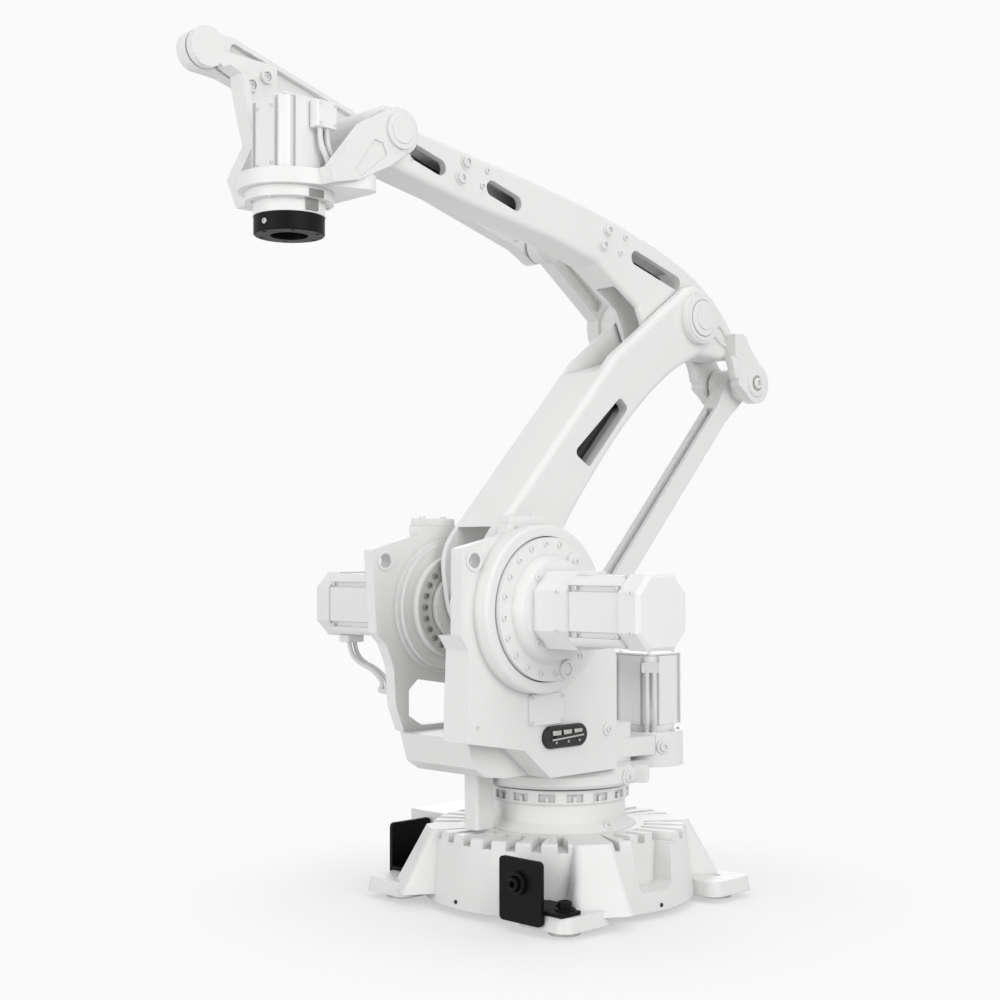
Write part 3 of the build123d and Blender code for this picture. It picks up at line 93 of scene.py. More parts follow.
# Side faces of the upper arm, which the node's box doesn't give
UPPER_ARM_NEAR = 0.110
UPPER_ARM_FAR = -0.014

# Depth from a shoulder gear's hub to the step that holds its outer ring of screws
GEAR_STEP = 0.036

# Clearance between a cap and the end that it covers
CAP_GAP = 0.0004

# Top of the feet, and the thickness of a bracket's plate on it
FOOT_TOP = 0.062
BRACKET_PLATE = 0.012

# The photograph's frame is square, so the lens is given by its focal length over the frame's width
SENSOR_MM = 36.0
FOCAL_OVER_WIDTH = 1.5566
CAMERA_BEARING = 44.632
CAMERA_DISTANCE = 4.8055
CAMERA_SIDESTEP = -0.1782
CAMERA_HEIGHT = 1.0329
CAMERA_PITCH = 2.125
CAMERA_ROLL = -0.104

# Floor: lit paper near the feet that passes over into the backdrop's colour
FLOOR_RADIUS = 60.0
FADE_START = 0.45
FADE_END = 1.3
FADE_LEAST = 0.5
FLOOR_BOUNCE = 0.7

# Light: the studio's own level, then each lamp's place in metres and power in watts
STUDIO_LEVEL = 0.50
LAMP_SIZE = 4.0
LAMP_AIM = Vector((0.2, 0.0, 1.1))
LAMPS = {
    "key_lamp": ((1.2, 6.5, 3.2), 182.0),
    "front_lamp": ((6.5, -0.2, 1.5), 140.0),
    "back_lamp": ((-4.5, -4.5, 3.0), 90.0),
    "top_lamp": ((0.2, 0.4, 5.4), 50.0),
}

# Ways that a face can look
OUT = (0, 1, 0)
BACK = (0, -1, 0)
AHEAD = (1, 0, 0)
UP = (0, 0, 1)
DOWN = (0, 0, -1)

# Finish of each material slot
FINISHES = {
    "white_casting_paint": "sprayed_casting_enamel",
    "white_housing_paint": "smooth_housing_enamel",
    "black_steel": "blackened_steel",
    "bare_steel": "turned_steel",
    "white_lead_sheath": "pale_lead_jacket",
    "black_hose": "black_rubber_hose",
    "black_plastic": "moulded_black_plastic",
}


class RobotColours(bpy.types.PropertyGroup):
    """Colours of the finishes, as sRGB hex values."""

    casting: bpy.props.StringProperty(
        name="Castings", description="Two-pack enamel on the cast iron and aluminium", default="ECECEB")
    housing: bpy.props.StringProperty(
        name="Housings", description="Smoother enamel on motors and covers", default="EFEFF0")
    black: bpy.props.StringProperty(
        name="Black steel", description="Blackened steel of brackets and tool flange", default="090909")
    steel: bpy.props.StringProperty(
        name="Bare steel", description="Turned steel of pins, pads and plugs", default="B9B9B6")
    phosphate: bpy.props.StringProperty(
        name="Phosphated steel", description="Dull grey steel of ring bolts and the wrist's index window",
        default="8E8E8C")
    machined: bpy.props.StringProperty(
        name="Machined iron", description="Bare iron of the far shoulder's bolt ring", default="D4D4D2")
    jacket: bpy.props.StringProperty(
        name="Lead jacket", description="Pale jacket of the motor leads", default="E2E2E3")
    hose: bpy.props.StringProperty(
        name="Hose", description="Black hose inside the arms", default="121212")
    plastic: bpy.props.StringProperty(
        name="Plastic", description="Black moulded plastic of the connector panel", default="0F0F10")
    backdrop: bpy.props.StringProperty(
        name="Backdrop", description="Pale floor and background", default="FAFAFA")


class RobotSizes(bpy.types.PropertyGroup):
    """Sizes of the screws, plugs and covers."""

    gear_screw: bpy.props.FloatProperty(
        name="Gear screw", description="Head radius of the screws round the shoulder gears",
        default=0.009, unit="LENGTH")
    cover_screw: bpy.props.FloatProperty(
        name="Cover screw", description="Head radius of the small screws in covers and motors",
        default=0.006, unit="LENGTH")
    arm_bolt: bpy.props.FloatProperty(
        name="Arm bolt", description="Head radius of the large bolts in the upper arm",
        default=0.016, unit="LENGTH")
    dowel: bpy.props.FloatProperty(
        name="Dowel", description="Head radius of the small bolts beside the large ones",
        default=0.009, unit="LENGTH")
    plug: bpy.props.FloatProperty(
        name="Oil plug", description="Radius of the oil plugs, which sets their seats too",
        default=0.017, unit="LENGTH")
    washer: bpy.props.FloatProperty(
        name="Washer", description="Radius of the washers on the levelling pins",
        default=0.036, unit="LENGTH")
    knob: bpy.props.FloatProperty(
        name="Bracket knob", description="Radius of the round knob on a lifting bracket",
        default=0.032, unit="LENGTH")
    lid: bpy.props.FloatProperty(
        name="Motor lid", description="Thickness of the lids on the upright motors",
        default=0.008, unit="LENGTH")


def linear(code):
    """Linear colour of an sRGB hex value."""
    parts = [int(code[i:i + 2], 16) / 255 for i in (0, 2, 4)]
    return tuple(p / 12.92 if p <= 0.04045 else ((p + 0.055) / 1.055) ** 2.4 for p in parts) + (1.0,)


def shade(colour, factor):
    """The colour times a factor, with its alpha kept."""
    return tuple(c * factor for c in colour[:3]) + (1.0,)


def add(tree, kind, inputs=None, **settings):
    """Adds a node with its settings; an input is a value or the socket that feeds it."""
    made = tree.nodes.new(kind)
    for key, value in settings.items():
        setattr(made, key, value)
    for key, value in (inputs or {}).items():
        if isinstance(value, bpy.types.NodeSocket):
            tree.links.new(value, made.inputs[key])
        else:
            made.inputs[key].default_value = value
    return made


def new_material(name):
    """Empty node material with its output node."""
    made = bpy.data.materials.new(name)
    made.use_nodes = True
    made.node_tree.nodes.clear()
    return made, made.node_tree, made.node_tree.nodes.new("ShaderNodeOutputMaterial")


def enamel(name, code, roughness, peel_mm, peel_depth_mm):
    """Sprayed two-pack enamel: satin, soft over edges, with orange peel and painted shade that darkens the
    corners.
    """
    made, tree, out = new_material(name)
    paint = linear(code)
    place = add(tree, "ShaderNodeTexCoord").outputs["Object"]
    peel = add(tree, "ShaderNodeTexNoise", {"Vector": place, "Scale": 1000 / peel_mm, "Detail": 2.0})
    # The spray's cover drifts a little over about 160 mm
    drift = add(tree, "ShaderNodeTexNoise", {"Vector": place, "Scale": 1000 / 160, "Detail": 3.0})
    tint = add(tree, "ShaderNodeMix", {
        "Factor": drift.outputs["Fac"], "A": shade(paint, 0.97), "B": shade(paint, 1.02)}, data_type="RGBA")
    # Painted shade: corners and seams are darkened, up to halfway to 60 % of the paint's colour, within
    # about 25 mm of them
    corner = add(tree, "ShaderNodeAmbientOcclusion", {"Distance": 0.025}, samples=6)
    painted_shade = add(tree, "ShaderNodeMapRange", {
        "Value": corner.outputs["AO"], "From Min": 0.2, "From Max": 0.85, "To Min": 0.5, "To Max": 0.0})
    # The paint's colour with the painted shade of the corners mixed in
    shaded_tint = add(tree, "ShaderNodeMix", {
        "Factor": painted_shade.outputs["Result"], "A": tint.outputs["Result"], "B": shade(paint, 0.6)},
        data_type="RGBA")
    gloss = add(tree, "ShaderNodeMapRange", {
        "Value": drift.outputs["Fac"], "To Min": roughness - 0.05, "To Max": roughness + 0.05})
    # Paint flows round an edge in a radius of about 3 mm
    edge = add(tree, "ShaderNodeBevel", {"Radius": 0.003}, samples=6)
    bump = add(tree, "ShaderNodeBump", {
        "Height": peel.outputs["Fac"], "Strength": 0.25, "Distance": peel_depth_mm / 1000,
        "Normal": edge.outputs["Normal"]})
    skin = add(tree, "ShaderNodeBsdfPrincipled", {
        "Base Color": shaded_tint.outputs["Result"], "Roughness": gloss.outputs["Result"],
        "IOR": 1.5, "Normal": bump.outputs["Normal"]})
    tree.links.new(skin.outputs["BSDF"], out.inputs["Surface"])


def grained(name, code, roughness, grain_mm, metal=0.0, shine=0.5, mottle=0.3):
    """Bare metal, rubber or plastic: a mottled colour and a fine grain that breaks up its gloss."""
    made, tree, out = new_material(name)
    colour = linear(code)
    place = add(tree, "ShaderNodeTexCoord").outputs["Object"]
    grain = add(tree, "ShaderNodeTexNoise", {"Vector": place, "Scale": 1000 / grain_mm, "Detail": 4.0})
    tint = add(tree, "ShaderNodeMix", {
        "Factor": grain.outputs["Fac"], "A": shade(colour, 1 - mottle), "B": shade(colour, 1 + mottle)},
        data_type="RGBA")
    gloss = add(tree, "ShaderNodeMapRange", {
        "Value": grain.outputs["Fac"], "To Min": roughness - 0.08, "To Max": roughness + 0.08})
    bump = add(tree, "ShaderNodeBump", {
        "Height": grain.outputs["Fac"], "Strength": 0.2, "Distance": 0.0004})
    skin = add(tree, "ShaderNodeBsdfPrincipled", {
        "Base Color": tint.outputs["Result"], "Roughness": gloss.outputs["Result"],
        "Metallic": metal, "Specular IOR Level": shine, "Normal": bump.outputs["Normal"]})
    tree.links.new(skin.outputs["BSDF"], out.inputs["Surface"])


def heading(degrees):
    """Level direction at an angle from straight ahead."""
    return Vector((cos(radians(degrees)), sin(radians(degrees)), 0))


def on_pin(axis, y):
    """Point of a cross axis at y."""
    return Vector((axis.x, y, axis.z))


def beside(axis, y, offsets):
    """Points on a side face at y, by their offsets in X and Z from an axis."""
    return [on_pin(axis, y) + Vector((x, 0, z)) for x, z in offsets]


def atop(centre, z, offsets):
    """Points on a level face at z, by their offsets in X and Y from a centre."""
    return [Vector((centre.x + x, centre.y + y, z)) for x, y in offsets]


def corners(across, along):
    """Offsets of a rectangle's corners from its middle."""
    return [(x, y) for x in (-across, across) for y in (-along, along)]


def facing(point, towards, spin=0.0):
    """Placement at a point, its Z axis along a direction."""
    turn = Vector(towards).to_track_quat("Z", "Y").to_matrix().to_4x4()
    return Matrix.Translation(point) @ turn @ Matrix.Rotation(spin, 4, "Z")


def all_facing(points, towards, spin=0.0):
    """Placements at several points, all facing the same way."""
    return [facing(point, towards, spin) for point in points]


def round_the(point, towards, radius, count, first=0.0):
    """Placements on a circle about a point, all facing the same way, from a first angle in degrees."""
    centre = facing(point, towards)
    turns = [radians(first + 360 * i / count) for i in range(count)]
    return [centre @ Matrix.Rotation(turn, 4, "Z") @ Matrix.Translation((radius, 0, 0)) for turn in turns]


def repeat(bm, before, places):
    """Puts a copy of what was made since before at each placement."""
    verts = [v for v in bm.verts if v not in before]
    edges = {e for v in verts for e in v.link_edges}
    faces = {f for v in verts for f in v.link_faces}
    master = verts + list(edges) + list(faces)
    for place in places[1:]:
        copy = bmesh.ops.duplicate(bm, geom=master)["geom"]
        bmesh.ops.transform(bm, matrix=place, verts=[g for g in copy if isinstance(g, bmesh.types.BMVert)])
    bmesh.ops.transform(bm, matrix=places[0], verts=verts)


def round_off(bm, before, edge):
    """Rounds every edge of what was made since before."""
    edges = {e for v in bm.verts if v not in before for e in v.link_edges}
    bmesh.ops.bevel(
        bm, geom=list(edges), offset=edge, segments=2, profile=0.5, affect="EDGES", material=-1)


def turned(bm, places, profile, steps=32):
    """Turned piece: a profile of radii and heights spun about each placement's Z axis."""
    before = set(bm.verts)
    verts = [bm.verts.new((radius, 0, height)) for radius, height in profile]
    edges = [bm.edges.new(pair) for pair in zip(verts, verts[1:])]
    bmesh.ops.spin(
        bm, geom=verts + edges, axis=(0, 0, 1), cent=(0, 0, 0), angle=2 * pi, steps=steps, use_merge=True)
    bmesh.ops.remove_doubles(bm, verts=[v for v in bm.verts if v not in before], dist=1e-6)
    repeat(bm, before, places)


def ring(bm, places, inner, outer, height, edge, steps=48):
    """Flat ring with its top edges eased."""
    turned(bm, places, [
        (inner, 0), (outer, 0), (outer, height - edge), (outer - edge, height), (inner + edge, height),
        (inner, height - edge), (inner, 0)], steps)


def disc(bm, places, radius, height, edge):
    """Flat disc with its top edge eased."""
    turned(bm, places, [
        (0, 0), (radius, 0), (radius, height - edge), (radius - edge, height), (0, height)])


def top_face(bm, before):
    """Highest face of what was made since before."""
    faces = {f for v in bm.verts if v not in before for f in v.link_faces}
    return max(faces, key=lambda face: face.calc_center_median().z)


def screws(bm, places, radius, height):
    """Socket screw heads: round, the top edge eased, with a hexagon recess."""
    before = set(bm.verts)
    bmesh.ops.create_cone(
        bm, cap_ends=True, segments=12, radius1=radius, radius2=radius, depth=height,
        matrix=Matrix.Translation((0, 0, height / 2)))
    bmesh.ops.bevel(
        bm, geom=list(top_face(bm, before).edges), offset=radius * 0.14, segments=1, profile=0.5,
        affect="EDGES", material=-1)
    rim = top_face(bm, before)
    bmesh.ops.inset_individual(bm, faces=[rim], thickness=radius * 0.3)
    # Every second corner of the twelve is drawn in, which leaves a hexagon; they are told apart by angle,
    # because the order of a face's corners can differ from run to run
    for corner in rim.verts:
        if round(atan2(corner.co.y, corner.co.x) / (pi / 6)) % 2 == 0:
            corner.co.x *= cos(pi / 6)
            corner.co.y *= cos(pi / 6)
    pit = bmesh.ops.extrude_discrete_faces(bm, faces=[rim])["faces"][0]
    bmesh.ops.translate(bm, vec=(0, 0, -height * 0.5), verts=pit.verts)
    repeat(bm, before, places)


def seated_screws(bm, places, seat, seat_height, head, head_height, edge=0.001):
    """Screw heads, each on a round seat or washer."""
    disc(bm, places, seat, seat_height, edge)
    screws(bm, [place @ Matrix.Translation((0, 0, seat_height)) for place in places], head, head_height)


def blocks(bm, places, size, edge):
    """Blocks that stand on their placements, with every edge rounded."""
    before = set(bm.verts)
    bmesh.ops.create_cube(
        bm, size=1.0, matrix=Matrix.Diagonal((*size, 1)) @ Matrix.Translation((0, 0, 0.5)))
    round_off(bm, before, edge)
    repeat(bm, before, places)


def motor_lid(bm, motor, width, spread, sizes):
    """Square lid on an upright motor, with a screw in each corner."""
    centre = middle(motor)
    top = high(motor).z
    blocks(bm, all_facing(atop(centre, top, [(0, 0)]), UP), (width, width, sizes.lid), 0.003)
    heads = atop(centre, top + sizes.lid, corners(spread, spread))
    screws(bm, all_facing(heads, UP), sizes.cover_screw, 0.004)


def fit(name, bm, body, slot, finish=None):
    """Makes the mesh a piece that rides on a body and takes the finish of a slot."""
    bmesh.ops.recalc_face_normals(bm, faces=bm.faces)
    mesh = bpy.data.meshes.new(name)
    bm.to_mesh(mesh)
    bm.free()
    mesh.polygons.foreach_set("use_smooth", [True] * len(mesh.polygons))
    mesh.set_sharp_from_angle(angle=radians(40))
    mesh.materials.append(bpy.data.materials[finish or FINISHES[slot]])
    piece = bpy.data.objects.new(name, mesh)
    bpy.context.scene.collection.objects.link(piece)
    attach(piece, body)


class RobotFinishes(bpy.types.Operator):
    """Gives every CAD node the finish of its material slot"""

    bl_idname = "robot.finishes"
    bl_label = "Finishes"

    def execute(self, context):
        colours = context.scene.robot_colours
        # Castings: sprayed over sanded filler, so a soft satin with a plain orange peel
        enamel(FINISHES["white_casting_paint"], colours.casting, 0.42, peel_mm=3.0, peel_depth_mm=0.12)
        # Motors and covers: the same enamel over smooth die castings, a little glossier and finer
        enamel(FINISHES["white_housing_paint"], colours.housing, 0.34, peel_mm=2.0, peel_depth_mm=0.06)
        # Blackened steel: an oxide skin that gives back almost no light
        grained(FINISHES["black_steel"], colours.black, 0.5, grain_mm=4.0, shine=0.14)
        # Turned steel: bright metal with the tool's fine marks
        grained(FINISHES["bare_steel"], colours.steel, 0.35, grain_mm=2.0, metal=1.0)
        # Lead jacket: clean extruded plastic, nearly one even tone
        grained(FINISHES["white_lead_sheath"], colours.jacket, 0.5, grain_mm=8.0, mottle=0.05)
        # Rubber hose: dull black with a dusty bloom
        grained(FINISHES["black_hose"], colours.hose, 0.6, grain_mm=3.0)
        # Moulded plastic: black with a faint spark grain
        grained(FINISHES["black_plastic"], colours.plastic, 0.4, grain_mm=2.0)
        # Phosphated steel: grey crystals that scatter the light, so it is not drawn as a bright metal
        grained("phosphated_steel", colours.phosphate, 0.55, grain_mm=3.0)
        # Machined iron: pale, dry and even
        grained("machined_iron", colours.machined, 0.5, grain_mm=3.0, mottle=0.1)
        for row in frame["record"]["subparts"]:
            node = frame["nodes"][row["node"]]
            node.data.materials.clear()
            node.data.materials.append(bpy.data.materials[FINISHES[row["material_slot"]]])
        return {"FINISHED"}


class RobotNearGear(bpy.types.Operator):
    """Screws, oil plug and round cover on the near shoulder gear"""

    bl_idname = "robot.near_gear"
    bl_label = "Near gear"

    def execute(self, context):
        sizes = context.scene.robot_sizes
        hub = high("near_gearbox").y
        step = hub - GEAR_STEP
        plug, cover = beside(SHOULDER, step, [(-0.092, 0.131), (-0.063, -0.169)])
        bm = bmesh.new()
        # The ring leaves out the screws that the plug and the cover would sit on
        outer = [
            place for place in round_the(on_pin(SHOULDER, step), OUT, radius=0.182, count=20, first=6)
            if min((place.translation - spot).length for spot in (plug, cover)) > 0.045]
        screws(bm, outer, sizes.gear_screw, 0.005)
        inner = round_the(on_pin(SHOULDER, hub), OUT, radius=0.126, count=4, first=45)
        screws(bm, inner, sizes.gear_screw, 0.005)
        seated_screws(bm, [facing(plug, OUT)], sizes.plug * 1.5, 0.010, sizes.plug * 0.7, 0.006, edge=0.002)
        ring(bm, [facing(cover, OUT)], 0.017, 0.026, 0.008, 0.002)
        disc(bm, [facing(cover, OUT)], 0.0165, 0.004, 0.001)
        fit("near_gear_screws", bm, "frame", "white_casting_paint")
        return {"FINISHED"}


class RobotFarGear(bpy.types.Operator):
    """Grey bolt ring on the far shoulder gear and the screws outside the far cheek"""

    bl_idname = "robot.far_gear"
    bl_label = "Far gear"

    def execute(self, context):
        sizes = context.scene.robot_sizes
        hub = high("far_gearbox").y
        cheek = low("frame_far_cheek").y
        thick = 0.003
        bm = bmesh.new()
        ring(bm, [facing(on_pin(SHOULDER, hub), OUT)], 0.101, 0.150, thick, 0.001, steps=64)
        fit("far_bolt_ring", bm, "frame", "bare_steel", "machined_iron")
        bm = bmesh.new()
        bolts = round_the(on_pin(SHOULDER, hub + thick), OUT, radius=0.127, count=24)
        screws(bm, bolts, sizes.gear_screw, 0.007)
        fit("far_ring_screws", bm, "frame", "bare_steel", "phosphated_steel")
        bm = bmesh.new()
        inside = round_the(on_pin(SHOULDER, hub - GEAR_STEP), OUT, radius=0.177, count=20)
        screws(bm, inside, sizes.gear_screw * 0.8, 0.005)
        outside = round_the(on_pin(SHOULDER, cheek), BACK, radius=0.172, count=16)
        screws(bm, outside, sizes.gear_screw, 0.006)
        fit("far_cheek_screws", bm, "frame", "white_casting_paint")
        return {"FINISHED"}


class RobotCheeks(bpy.types.Operator):
    """Screws, bushes and connectors on the two cheeks of the frame"""

    bl_idname = "robot.cheeks"
    bl_label = "Cheeks"

    def execute(self, context):
        near = low("service_cover").y
        far = low("frame_far_cheek").y
        self.screw_heads(context.scene.robot_sizes, near, far)
        self.bushes(near, far)
        self.connectors()
        return {"FINISHED"}

    def screw_heads(self, sizes, near, far):
        """Screws of the service cover, the stop blocks and the cheeks' own faces."""
        bm = bmesh.new()
        cover = beside(middle("service_cover"), high("service_cover").y, corners(0.061, 0.034))
        screws(bm, all_facing(cover, OUT), sizes.cover_screw, 0.003)
        for block in ("near_stop_block", "far_stop_block"):
            heads = atop(middle(block), high(block).z, [(-0.042, 0), (0.042, 0)])
            screws(bm, all_facing(heads, UP), 0.009, 0.006)
        boss = beside(SHOULDER, near, [(-0.308, -0.359)])
        seated_screws(bm, all_facing(boss, OUT), sizes.plug * 1.2, 0.004, sizes.plug * 0.6, 0.005)
        foot = beside(SHOULDER, far, [(x, -0.445) for x in (-0.303, -0.203, -0.103)])
        screws(bm, all_facing(foot, BACK), sizes.gear_screw, 0.006)
        face = beside(SHOULDER, near, [(0.073, 0.229), (-0.011, 0.229), (0.222, -0.315)])
        screws(bm, all_facing(face, OUT), sizes.cover_screw, 0.004)
        fit("cheek_screws", bm, "frame", "white_casting_paint")

    def bushes(self, near, far):
        """Bushes in the lifting eyes of both cheeks."""
        bm = bmesh.new()
        eye = SHOULDER + Vector((0.233, 0, 0.135))
        for y, towards in ((near, OUT), (high("frame_far_cheek").y, OUT), (far, BACK)):
            ring(bm, [facing(on_pin(eye, y), towards)], 0.0205, 0.030, 0.004, 0.0015)
        fit("ear_bushes", bm, "frame", "white_casting_paint")

    def connectors(self):
        """Steel frames of the connectors, the bar and screws under them, and the seal between."""
        panel = middle("connector_panel")
        face = high("connector_panel").y
        sunk = face - 0.004
        skew = radians(3)
        bm = bmesh.new()
        frames = beside(panel, sunk, [(x, 0.012) for x in (-0.044, 0, 0.044)])
        blocks(bm, all_facing(frames, OUT), (0.034, 0.014, 0.010), 0.002)
        bar = beside(panel, sunk, [(0, -0.003)])
        blocks(bm, all_facing(bar, OUT, skew), (0.130, 0.005, 0.012), 0.001)
        heads = beside(panel, face, [(x, -0.015) for x in (-0.052, -0.006, 0.044)])
        screws(bm, all_facing(heads, OUT), 0.004, 0.003)
        fit("connector_frames", bm, "frame", "bare_steel")
        bm = bmesh.new()
        seal = beside(panel, sunk, [(-0.008, 0.004)])
        blocks(bm, all_facing(seal, OUT, skew), (0.112, 0.009, 0.010), 0.002)
        fit("connector_seal", bm, "frame", "black_plastic")


class RobotMotors(bpy.types.Operator):
    """Screws of the two shoulder motors, the swivel motor's lid and the far motor's socket"""

    bl_idname = "robot.motors"
    bl_label = "Motors"

    def execute(self, context):
        sizes = context.scene.robot_sizes
        bm = bmesh.new()
        for part, inset in (("near_motor_housing", 0.030), ("near_motor_cap", 0.025)):
            front = high(part)
            heads = [(front.x, front.y - inset, SHOULDER.z + z) for z in (-0.052, 0.052)]
            screws(bm, all_facing(heads, AHEAD), sizes.cover_screw, 0.004)
        # Places along each motor of the screws in its front and its top
        for motor, in_front, on_top in (
                ("near_motor", (0.493, 0.639), (0.490, 0.628)),
                ("far_motor", (-0.320, -0.528), (-0.320, -0.528))):
            heads = [(high(motor).x, y, SHOULDER.z + z) for y in in_front for z in (-0.062, 0.062)]
            screws(bm, all_facing(heads, AHEAD), sizes.cover_screw, 0.004)
            heads = [(SHOULDER.x + x, y, high(motor).z) for y in on_top for x in (-0.043, 0.043)]
            screws(bm, all_facing(heads, UP), sizes.cover_screw, 0.004)
        fit("motor_screws", bm, "frame", "white_housing_paint")
        bm = bmesh.new()
        motor_lid(bm, "swivel_motor", 0.152, 0.058, sizes)
        socket = (0.385, -0.530, low("far_motor").z)
        blocks(bm, [facing(socket, DOWN)], (0.064, 0.048, 0.026), 0.004)
        fit("motor_lids", bm, "frame", "white_housing_paint")
        return {"FINISHED"}


class RobotSwivel(bpy.types.Operator):
    """Plugs and bolts round the swivel bearing, its neck and the swivel motor's housing"""

    bl_idname = "robot.swivel"
    bl_label = "Swivel"

    def execute(self, context):
        sizes = context.scene.robot_sizes
        housing = middle("swivel_motor_housing")
        bm = bmesh.new()
        for centre, radius, bearing, height in (
                (housing, 0.111, 66, 0.446), (SWIVEL, 0.249, 97, 0.380)):
            out = heading(bearing)
            plug = facing(Vector((centre.x, centre.y, height)) + out * radius, out)
            seated_screws(bm, [plug], sizes.plug * 1.35, 0.005, sizes.plug * 0.85, 0.007)
        # The leads rise from the same ledge of the housing
        ledge = Vector((housing.x, housing.y, low("swivel_motor_leads").z))
        screws(bm, round_the(ledge, UP, radius=0.099, count=8, first=5), sizes.cover_screw, 0.005)
        fit("swivel_plugs", bm, "frame", "white_casting_paint")
        bm = bmesh.new()
        pockets = round_the((0, 0, 0.315), UP, radius=0.2085, count=16, first=11.25)
        screws(bm, pockets, 0.0055, 0.016)
        # Oil plug on the slope under the bearing
        out = heading(84)
        plug = facing(out * 0.219 + Vector((0, 0, 0.239)), out + Vector((0, 0, 0.7)))
        screws(bm, [plug], sizes.plug * 0.7, 0.008)
        fit("bearing_bolts", bm, "base", "white_casting_paint")
        return {"FINISHED"}


class RobotBase(bpy.types.Operator):
    """Knobs and bolts of the lifting brackets, drain plugs and the sockets of the connection box"""

    bl_idname = "robot.base"
    bl_label = "Base"

    def execute(self, context):
        sizes = context.scene.robot_sizes
        self.brackets(sizes)
        bm = bmesh.new()
        for bearing, height in ((-3.3, 0.040), (89, 0.036)):
            out = heading(bearing)
            drain = facing(out * 0.410 + Vector((0, 0, height)), out)
            screws(bm, [drain], sizes.cover_screw, 0.003)
        fit("drain_plugs", bm, "base", "black_plastic")
        self.sockets()
        return {"FINISHED"}

    def brackets(self, sizes):
        """Knob and foot bolt of each bracket, and the left one's long foot plate with its screws."""
        bm = bmesh.new()
        plate_top = FOOT_TOP + BRACKET_PLATE
        left = high("front_left_bracket").x
        right = low("front_right_bracket").y
        for knob, towards, bolt in (
                ((left, 0.258, 0.139), AHEAD, (0.372, 0.372, plate_top)),
                ((0.220, right, 0.139), BACK, (0.262, -0.326, plate_top))):
            ring(bm, [facing(knob, towards)], sizes.knob * 0.62, sizes.knob, 0.014, 0.003)
            screws(bm, [facing(knob, towards)], sizes.knob * 0.58, 0.026)
            seated_screws(bm, [facing(bolt, UP)], 0.030, 0.004, 0.020, 0.020)
        heads = [(x, y, plate_top) for x, y in ((0.402, 0.220), (0.402, 0.310), (0.345, 0.215))]
        screws(bm, all_facing(heads, UP), 0.007, 0.005)
        blocks(bm, [facing((0.384, 0.372, FOOT_TOP), UP)], (0.078, 0.070, BRACKET_PLATE), 0.002)
        fit("bracket_bolts", bm, "base", "black_steel")

    def sockets(self):
        """Two round sockets with their contacts, and the corner screws of the connection box."""
        bm = bmesh.new()
        face = low("connection_box").y
        floor = 0.004
        for x in (-0.062, 0.062):
            socket = facing((x, face, 0.145), BACK)
            ring(bm, [socket], 0.030, 0.042, 0.014, 0.003)
            disc(bm, [socket], 0.0298, floor, 0.001)
            contacts = round_the((x, face - floor, 0.145), BACK, radius=0.017, count=10)
            turned(bm, contacts, [(0, 0), (0.002, 0), (0.002, 0.005), (0, 0.006)], steps=8)
        heads = [(x, face, z) for x in (-0.115, 0.115) for z in (0.080, 0.198)]
        screws(bm, all_facing(heads, BACK), 0.007, 0.005)
        fit("box_sockets", bm, "base", "bare_steel")


class RobotUpperArm(bpy.types.Operator):
    """Bolts and the raised oval on the upper arm, and the clevis behind it"""

    bl_idname = "robot.upper_arm"
    bl_label = "Upper arm"

    def execute(self, context):
        self.bolts(context.scene.robot_sizes)
        self.clevis()
        return {"FINISHED"}

    def bolts(self, sizes):
        """Large and small bolts through both side faces, the oval boss and the clevis pin's ends."""
        large = ((0.492, 2.156), (0.512, 2.107), (-0.092, 2.001), (-0.115, 2.051))
        small = ((0.409, 2.145), (0.429, 2.098), (-0.196, 2.038), (-0.172, 1.987), (-0.537, 1.898))
        bm = bmesh.new()
        for y, towards in ((UPPER_ARM_NEAR, OUT), (UPPER_ARM_FAR, BACK)):
            heads = [facing((x, y, z), towards) for x, z in large]
            seated_screws(bm, heads, sizes.arm_bolt * 1.35, 0.003, sizes.arm_bolt, 0.009)
            screws(bm, [facing((x, y, z), towards) for x, z in small], sizes.dowel, 0.006)
        oval = facing((-0.673, UPPER_ARM_NEAR, 1.782), OUT, radians(-35.5))
        ring(bm, [oval @ Matrix.Diagonal((1.5, 0.62, 1, 1))], 0.029, 0.042, 0.007, 0.003)
        for y, towards in ((high("clevis_pin").y, OUT), (low("clevis_pin").y, BACK)):
            end = facing(on_pin(CLEVIS_PIN, y), towards)
            ring(bm, [end], 0.026, 0.046, 0.005, 0.002)
            screws(bm, [end], 0.019, 0.012)
        fit("upper_arm_bolts", bm, "upper_arm", "white_casting_paint")

    def clevis(self):
        """Round back of the clevis bridge, and the gussets that carry its cheeks into the arm."""
        arm = Matrix.Translation(ELBOW) @ Matrix.Rotation(radians(UPPER_ARM_TILT), 4, "Y")
        bm = bmesh.new()
        bar = arm @ facing((-0.252, -0.051, 0.008), OUT)
        turned(bm, [bar], [
            (0, 0), (0.032, 0), (0.038, 0.006), (0.038, 0.198), (0.032, 0.204), (0, 0.204)], steps=40)
        fit("clevis_bridge_back", bm, "upper_arm", "white_casting_paint")
        bm = bmesh.new()
        outline = (
            (-0.252, -0.034), (-0.205, -0.050), (-0.232, -0.078), (-0.252, -0.112), (-0.276, -0.112),
            (-0.276, -0.034))
        before = set(bm.verts)
        side = bm.faces.new([bm.verts.new((x, 0, z)) for x, z in outline])
        wall = bmesh.ops.extrude_face_region(bm, geom=[side])["geom"]
        bmesh.ops.translate(
            bm, vec=(0, 0.032, 0), verts=[g for g in wall if isinstance(g, bmesh.types.BMVert)])
        round_off(bm, before, 0.004)
        repeat(bm, before, [arm @ Matrix.Translation((0, y, 0)) for y in (-0.049, 0.119)])
        fit("clevis_gussets", bm, "upper_arm", "white_casting_paint")


